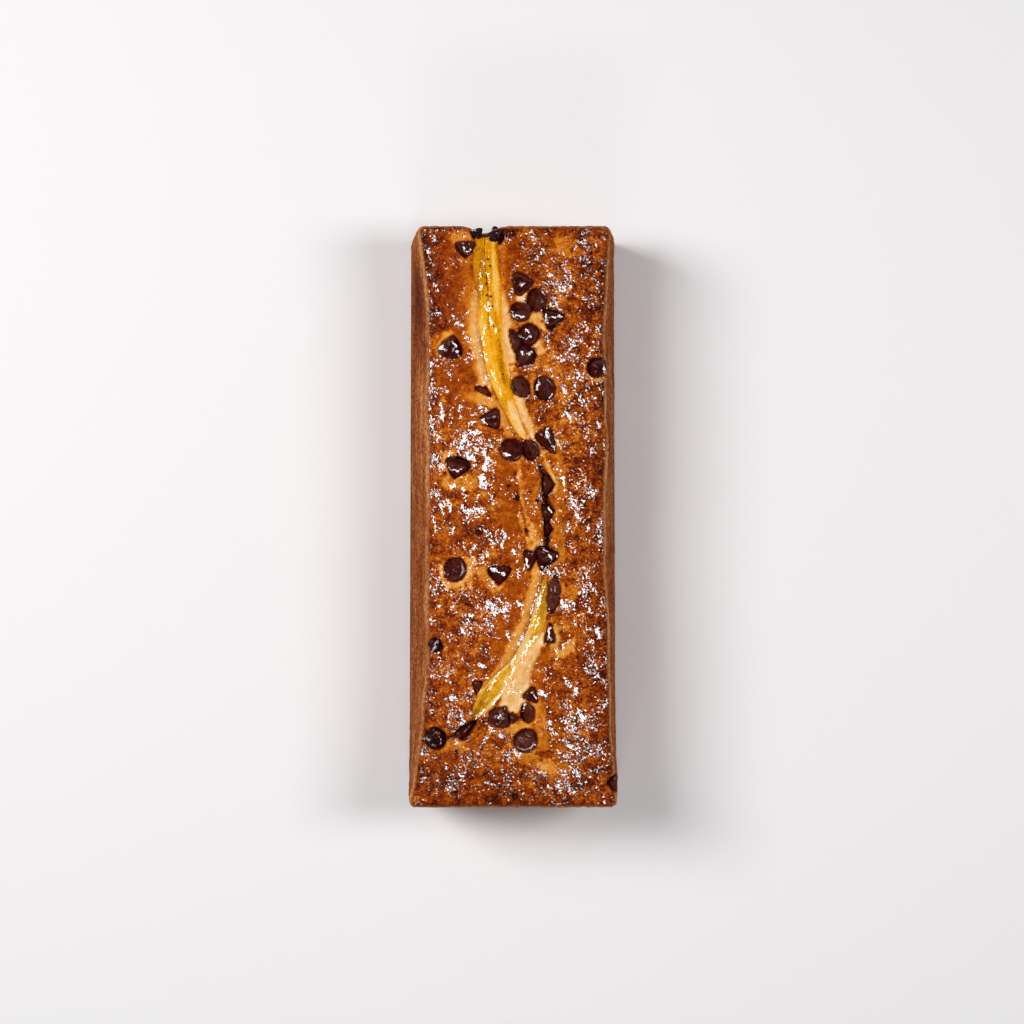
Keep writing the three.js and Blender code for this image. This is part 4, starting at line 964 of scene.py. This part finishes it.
def bakedCrust():
    # Baked batter under a brushed-on sugar glaze: the crust browns from cream to dark red-brown,
    # and the hard, clear, wrinkled glaze gives small sharp white glints. The walls baked against
    # the tin are matte, streaked and porous.
    material, mm = newMaterial("baked_glazed_crust")
    bake, grain, side, crowd, gleam = (add(material, "Attribute", gives="Fac", attribute_name=name)
                                       for name in ("bake", "grain", "side", "crowd", "gleam"))
    onCrust = add(material, "Math", operation="SUBTRACT", i0=1.0, i1=side, use_clamp=True)
    # flakes of glaze: short squiggles, which are contour lines of a noise that is drawn out along
    # a slant. A second noise breaks them. They are wide and unbroken in the painted strokes.
    slanted = add(material, "Mapping", vector_type="TEXTURE", Vector=mm, Rotation=(0, 0, -1.05),
                  Scale=(1.7, 1, 1))
    contour = add(material, "TexNoise", Vector=slanted, Scale=1 / 1.0, Detail=1.0, Distortion=0.8)
    contour = add(material, "Math", operation="ABSOLUTE",
                  i0=add(material, "Math", operation="SUBTRACT", i0=contour, i1=0.5))
    contour = add(material, "Math", operation="MULTIPLY_ADD", i0=gleam, i1=-0.075, i2=contour)
    clusters = add(material, "TexNoise", Vector=mm, Scale=1 / 6.5, Detail=1.0)
    breaks = add(material, "TexNoise", Vector=mm, Scale=1 / 1.0, Detail=1.0)
    broken = add(material, "Math", operation="ADD", i0=breaks, i1=crowd)
    broken = swung(material, broken, [(clusters, 0.8)])
    broken = add(material, "Math", operation="MULTIPLY_ADD", i0=gleam, i1=0.4, i2=broken)
    broken = add(material, "MapRange", **eased, Value=broken, From__Min=0.685, From__Max=0.705)
    lines = add(material, "MapRange", **eased, Value=contour, From__Min=0.056,
                From__Max=0.068, To__Min=1.0, To__Max=0.0)
    # a wider band round each squiggle: the crust in it gets painted shade round the glint
    haloShade = add(material, "MapRange", **eased, Value=contour, From__Min=0.085,
               From__Max=0.18, To__Min=1.0, To__Max=0.0)
    flakes = add(material, "Math", operation="MULTIPLY", i0=lines, i1=broken)
    flakes = add(material, "Math", operation="MULTIPLY", i0=flakes, i1=onCrust)
    haloShade = add(material, "Math", operation="MULTIPLY", i0=haloShade, i1=broken)
    # browning: the painted field, clouded and grained, more so where the crust is coarse, and
    # darker beside the flakes, a band of painted shade round their glints
    clouds = add(material, "TexNoise", Vector=mm, Scale=1 / 3.4, Detail=4.0, Roughness=0.6)
    crumbs = add(material, "TexNoise", Vector=mm, Scale=1 / 0.55, Detail=2.0, Roughness=0.6)
    pits = add(material, "TexNoise", Vector=mm, Scale=1 / 1.1, Detail=2.0, Roughness=0.6)
    coarse = add(material, "MapRange", Value=grain, To__Min=0.35, To__Max=1.15)
    browned = add(material, "MapRange", Value=bake, From__Min=0.1, From__Max=0.4, To__Min=0.2)
    coarse = add(material, "Math", operation="MULTIPLY", i0=coarse, i1=browned)
    change = swung(material, 0.0, [(clouds, 1.0), (crumbs, 1.35), (pits, -0.7)])
    tone = add(material, "Math", operation="MULTIPLY_ADD", i0=change, i1=coarse, i2=bake)
    tone = add(material, "Math", operation="MULTIPLY_ADD", i0=haloShade, i1=0.2, i2=tone)
    crustColour = add(material, "ValToRGB", Fac=tone, stops=[
        (0.0, "#f4cb96"), (0.12, "#eab26a"), (0.26, "#dc8f34"), (0.4, "#c46a0e"), (0.54, "#a34804"),
        (0.68, "#822d03"), (0.82, "#551904"), (1.0, "#240a04")])
    flecks = add(material, "TexNoise", Vector=mm, Scale=1 / 1.0, Detail=2.0, Roughness=0.6)
    flecks = add(material, "MapRange", **eased, Value=flecks, From__Min=0.57, From__Max=0.66)
    flecks = add(material, "Math", operation="MULTIPLY", i0=flecks,
                 i1=add(material, "MapRange", Value=grain, From__Min=0.4, To__Max=0.4))
    crustColour = add(material, "Mix", data_type="RGBA", i0=flecks, i6=crustColour, i7="#b87448")
    # the walls: streaks along the loaf, upright crumb, and pores painted dark as shade in them
    drawn = add(material, "Mapping", Vector=mm, Scale=(0.25, 0.25, 1.0))
    streaks = add(material, "TexNoise", Vector=drawn, Scale=1 / 3.4, Detail=3.0, Roughness=0.65)
    upright = add(material, "Mapping", Vector=mm, Scale=(1.0, 1.0, 0.55))
    crumb = add(material, "TexNoise", Vector=upright, Scale=1 / 1.4, Detail=4.0, Roughness=0.7)
    holes = add(material, "TexNoise", Vector=mm, Scale=1 / 1.2, Detail=2.0, Roughness=0.6)
    holes = add(material, "MapRange", **eased, Value=holes, From__Min=0.56, From__Max=0.64)
    wallShade = swung(material, bake, [(streaks, 0.65), (crumb, 1.15), (holes, -0.26)])
    wallColour = add(material, "ValToRGB", Fac=wallShade, stops=[
        (0.05, "#2a120b"), (0.3, "#572311"), (0.5, "#7e3a18"), (0.72, "#a65c2a"), (0.95, "#cf9258")])
    colour = add(material, "Mix", data_type="RGBA", i0=side, i6=crustColour, i7=wallColour)
    # relief: the wrinkled glaze over crumbs, and on the walls crumb, streaks and pores
    wrinkles = add(material, "TexNoise", Vector=mm, Scale=1 / 1.7, Detail=0.0, Distortion=0.8)
    glazeHeight = swung(material, wrinkles, [(crumbs, 0.3)])
    wallHeight = swung(material, 0.0, [(streaks, 0.6), (crumb, 0.8), (holes, -0.6)])
    bodyHeight = add(material, "Mix", i0=side, i2=glazeHeight, i3=wallHeight)
    shader = add(material, "BsdfPrincipled", IOR=1.45, Coat__Roughness=0.05, Coat__IOR=1.9,
                 Specular__IOR__Level=0.03, Base__Color=colour,
                 Roughness=add(material, "MapRange", Value=side, To__Min=0.4, To__Max=0.85),
                 Normal=add(material, "Bump", Height=bodyHeight, Distance=0.0005), Coat__Weight=flakes,
                 Coat__Normal=leaningCoat(material, mm, flakes, glazeHeight, 0.0001))
    add(material, "OutputMaterial", Surface=shader)
    return material


def bakedBanana():
    # Banana flesh baked in its own syrup: translucent yellow, darker along its fibres and cut
    # edges, with a wet, sticky gloss.
    material, mm = newMaterial("baked_banana")
    tone, pale = (add(material, "Attribute", gives="Fac", attribute_name=name)
                  for name in ("tone", "pale"))
    lay = add(material, "Attribute", gives="Vector", attribute_name="lay")
    drawn = add(material, "Mapping", Vector=lay, Scale=(1.0, 0.12, 1.0))
    threads = add(material, "TexNoise", Vector=drawn, Scale=1 / 0.55, Detail=2.0, Roughness=0.6)
    spots = add(material, "TexNoise", Vector=lay, Scale=1 / 0.8, Detail=2.0, Roughness=0.6)
    blotches = add(material, "TexNoise", Vector=lay, Scale=1 / 3.0, Detail=2.0)
    fibrous = add(material, "MapRange", Value=pale, To__Min=0.22, To__Max=0.7)
    tone = swung(material, tone, [(threads, fibrous), (spots, 0.5), (blotches, 0.4)])
    golden = add(material, "ValToRGB", Fac=tone, stops=[
        (0.0, "#3a0c08"), (0.18, "#6b3206"), (0.32, "#a15f04"), (0.46, "#cf8202"), (0.62, "#efa402"),
        (0.78, "#f2b740"), (1.0, "#f3cf9c")])
    creamy = add(material, "ValToRGB", Fac=tone, stops=[
        (0.0, "#351808"), (0.2, "#74470c"), (0.4, "#b07f18"), (0.6, "#dca733"), (0.8, "#ecc078"),
        (1.0, "#f6d8ac")])
    colour = add(material, "Mix", data_type="RGBA", i0=pale, i6=golden, i7=creamy)
    height = swung(material, threads, [(spots, 1.0)])
    flakes = strokedFlakes(material, mm, 0.55, 0.9)
    shader = add(material, "BsdfPrincipled", Roughness=0.4, IOR=1.4, Coat__Roughness=0.05, Coat__IOR=1.8,
                 Specular__IOR__Level=0.03, Base__Color=colour,
                 Normal=add(material, "Bump", Height=height, Distance=0.00025),
                 Coat__Weight=add(material, "MapRange", Value=flakes, To__Min=0.005),
                 Coat__Normal=leaningCoat(material, mm, flakes, height, 0.00006))
    add(material, "OutputMaterial", Surface=shader)
    return material


def darkChocolate():
    # Dark chocolate, melted and set again: deep red-brown with a soft satin gloss, greyish where
    # its fat has bloomed, black and gritty where it burnt.
    material, mm = newMaterial("dark_chocolate")
    dust, burn = (add(material, "Attribute", gives="Fac", attribute_name=name)
                  for name in ("dust", "burn"))
    cloud = add(material, "TexNoise", Vector=mm, Scale=1 / 2.6, Detail=3.0, Roughness=0.6)
    grit = add(material, "TexNoise", Vector=mm, Scale=1 / 0.7, Detail=3.0, Roughness=0.6)
    base = add(material, "ValToRGB", Fac=cloud, stops=[
        (0.3, "#260502"), (0.5, "#3d0903"), (0.7, "#521208")])
    bloom = add(material, "MapRange", **eased, Value=cloud, From__Min=0.34, From__Max=0.6)
    bloom = add(material, "Math", operation="MULTIPLY", i0=bloom, i1=dust)
    colour = add(material, "Mix", data_type="RGBA", i0=bloom, i6=base, i7="#5c2c20")
    scorched = add(material, "MapRange", **eased, Value=grit, From__Min=0.42, From__Max=0.54)
    scorched = add(material, "Math", operation="MULTIPLY", i0=scorched, i1=burn)
    colour = add(material, "Mix", data_type="RGBA", i0=scorched, i6=colour, i7="#120b0b")
    pitted = add(material, "Math", operation="ADD", i0=burn, i1=0.05)
    height = swung(material, cloud, [(grit, pitted)])
    flakes = strokedFlakes(material, mm, 0.6, 0.6)
    coat = add(material, "MapRange", Value=bloom, To__Min=0.25, To__Max=0.08)
    coat = add(material, "Math", operation="MULTIPLY", i0=coat,
               i1=add(material, "Math", operation="SUBTRACT", i0=1.1, i1=burn))
    coat = add(material, "Math", operation="MAXIMUM", i0=coat, i1=flakes)
    shader = add(material, "BsdfPrincipled", IOR=1.5, Coat__Roughness=0.05, Coat__IOR=1.8,
                 Specular__IOR__Level=0.05, Base__Color=colour,
                 Roughness=add(material, "MapRange", Value=bloom, To__Min=0.34, To__Max=0.62),
                 Normal=add(material, "Bump", Height=height, Distance=0.0003), Coat__Weight=coat,
                 Coat__Normal=leaningCoat(material, mm, flakes, height, 0.0002))
    add(material, "OutputMaterial", Surface=shader)
    return material


def driedSeed():  # tiny dark seeds, dull with baked-on syrup
    material, mm = newMaterial("banana_seed")
    speckle = add(material, "TexNoise", Vector=mm, Scale=1 / 0.4)
    colour = add(material, "ValToRGB", Fac=speckle, stops=[(0.35, "#0c0403"), (0.65, "#271006")])
    add(material, "OutputMaterial", Surface=add(
        material, "BsdfPrincipled", Roughness=0.6, Specular__IOR__Level=0.1, Base__Color=colour))
    return material


studio = {
    "cameraHeight": 1262.0, "cameraX": -0.2, "cameraY": 1.9, "frameWidth": 409.6, "crustLevel": 62.0,
    "sensor": 36.0, "clipEnd": 20, "lightTarget": (0, 0, 40.0), "floorColour": "#f3f1f2",
    "floorSize": 12000, "skyHigh": 0.02, "skyLow": 1.1, "skyFrom": 0.1, "skyTo": 0.4,
    "skyColour": "#f4f3f5",
}
lights = [  # name, place, size across and along, strength in watts
    ("key_left", (-640, 240, 1000), (380, 670), 10.2),
    ("side_right", (560, 60, 960), (250, 460), 4.7),
    ("front_low", (-80, -900, 760), (420, 140), 1.4),
]


def makeStage():
    material, _ = newMaterial("pale_floor")
    add(material, "OutputMaterial", Surface=add(
        material, "BsdfPrincipled", Base__Color=studio["floorColour"], Roughness=0.9,
        Specular__IOR__Level=0.1))
    half = studio["floorSize"] / 2
    corners = np.array([(-half, -half, 0), (half, -half, 0), (half, half, 0), (-half, half, 0)], float)
    floor = makePiece("floor", corners, [(0, 1, 2, 3)], {}, material, smooth=False)
    for name, place, size, power in lights:
        data = bpy.data.lights.new(name, "AREA")
        data.shape = "RECTANGLE"
        data.size, data.size_y = size[0] / 1000, size[1] / 1000
        data.energy = power
        lamp = bpy.data.objects.new(name, data)
        lamp.location = np.array(place) / 1000
        towards = Vector(((np.array(studio["lightTarget"]) - place) / 1000).tolist())
        lamp.rotation_mode = "QUATERNION"
        lamp.rotation_quaternion = towards.to_track_quat("-Z", "Y")
        bpy.context.scene.collection.objects.link(lamp)
    # The room is dark overhead and bright towards the horizon, by the height of the direction.
    world = bpy.data.worlds.new("studio")
    world.use_nodes = True
    world.node_tree.nodes.clear()
    upwards = add(world, "SeparateXYZ", gives="Z", i0=add(world, "TexCoord", gives="Generated"))
    strength = add(world, "MapRange", **eased, Value=upwards, From__Min=studio["skyFrom"],
                   From__Max=studio["skyTo"], To__Min=studio["skyLow"], To__Max=studio["skyHigh"])
    sky = add(world, "Background", Color=studio["skyColour"], Strength=strength)
    add(world, "OutputWorld", Surface=sky)
    bpy.context.scene.world = world
    camera = bpy.data.cameras.new("camera")
    camera.sensor_width = studio["sensor"]
    reach = studio["cameraHeight"] - studio["crustLevel"]
    camera.lens = studio["sensor"] * reach / studio["frameWidth"]
    camera.clip_end = studio["clipEnd"]
    holder = bpy.data.objects.new("camera", camera)
    holder.location = (studio["cameraX"] / 1000, studio["cameraY"] / 1000, studio["cameraHeight"] / 1000)
    bpy.context.scene.collection.objects.link(holder)
    bpy.context.scene.camera = holder
    bpy.context.scene.view_settings.view_transform = "Standard"
    bpy.context.scene.view_settings.look = "None"
    report("stage")


cake = makeCake(bakedCrust())
bananaMaterial = bakedBanana()
upper = makeBanana("banana_strip_upper", upperBanana, upperMarks, 0.5, bananaMaterial, 31)
lower = makeBanana("banana_strip_lower", lowerBanana, lowerMarks, -1, bananaMaterial, 41)
seedPiece = makeSeeds(driedSeed())
chipPiece = makeChips(darkChocolate())

for piece in (cake, upper, lower, seedPiece, chipPiece):
    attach(piece, "root")
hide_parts("cake")
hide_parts("banana_upper")
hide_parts("banana_lower")
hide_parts(*(one["name"] for one in chips))
makeStage()
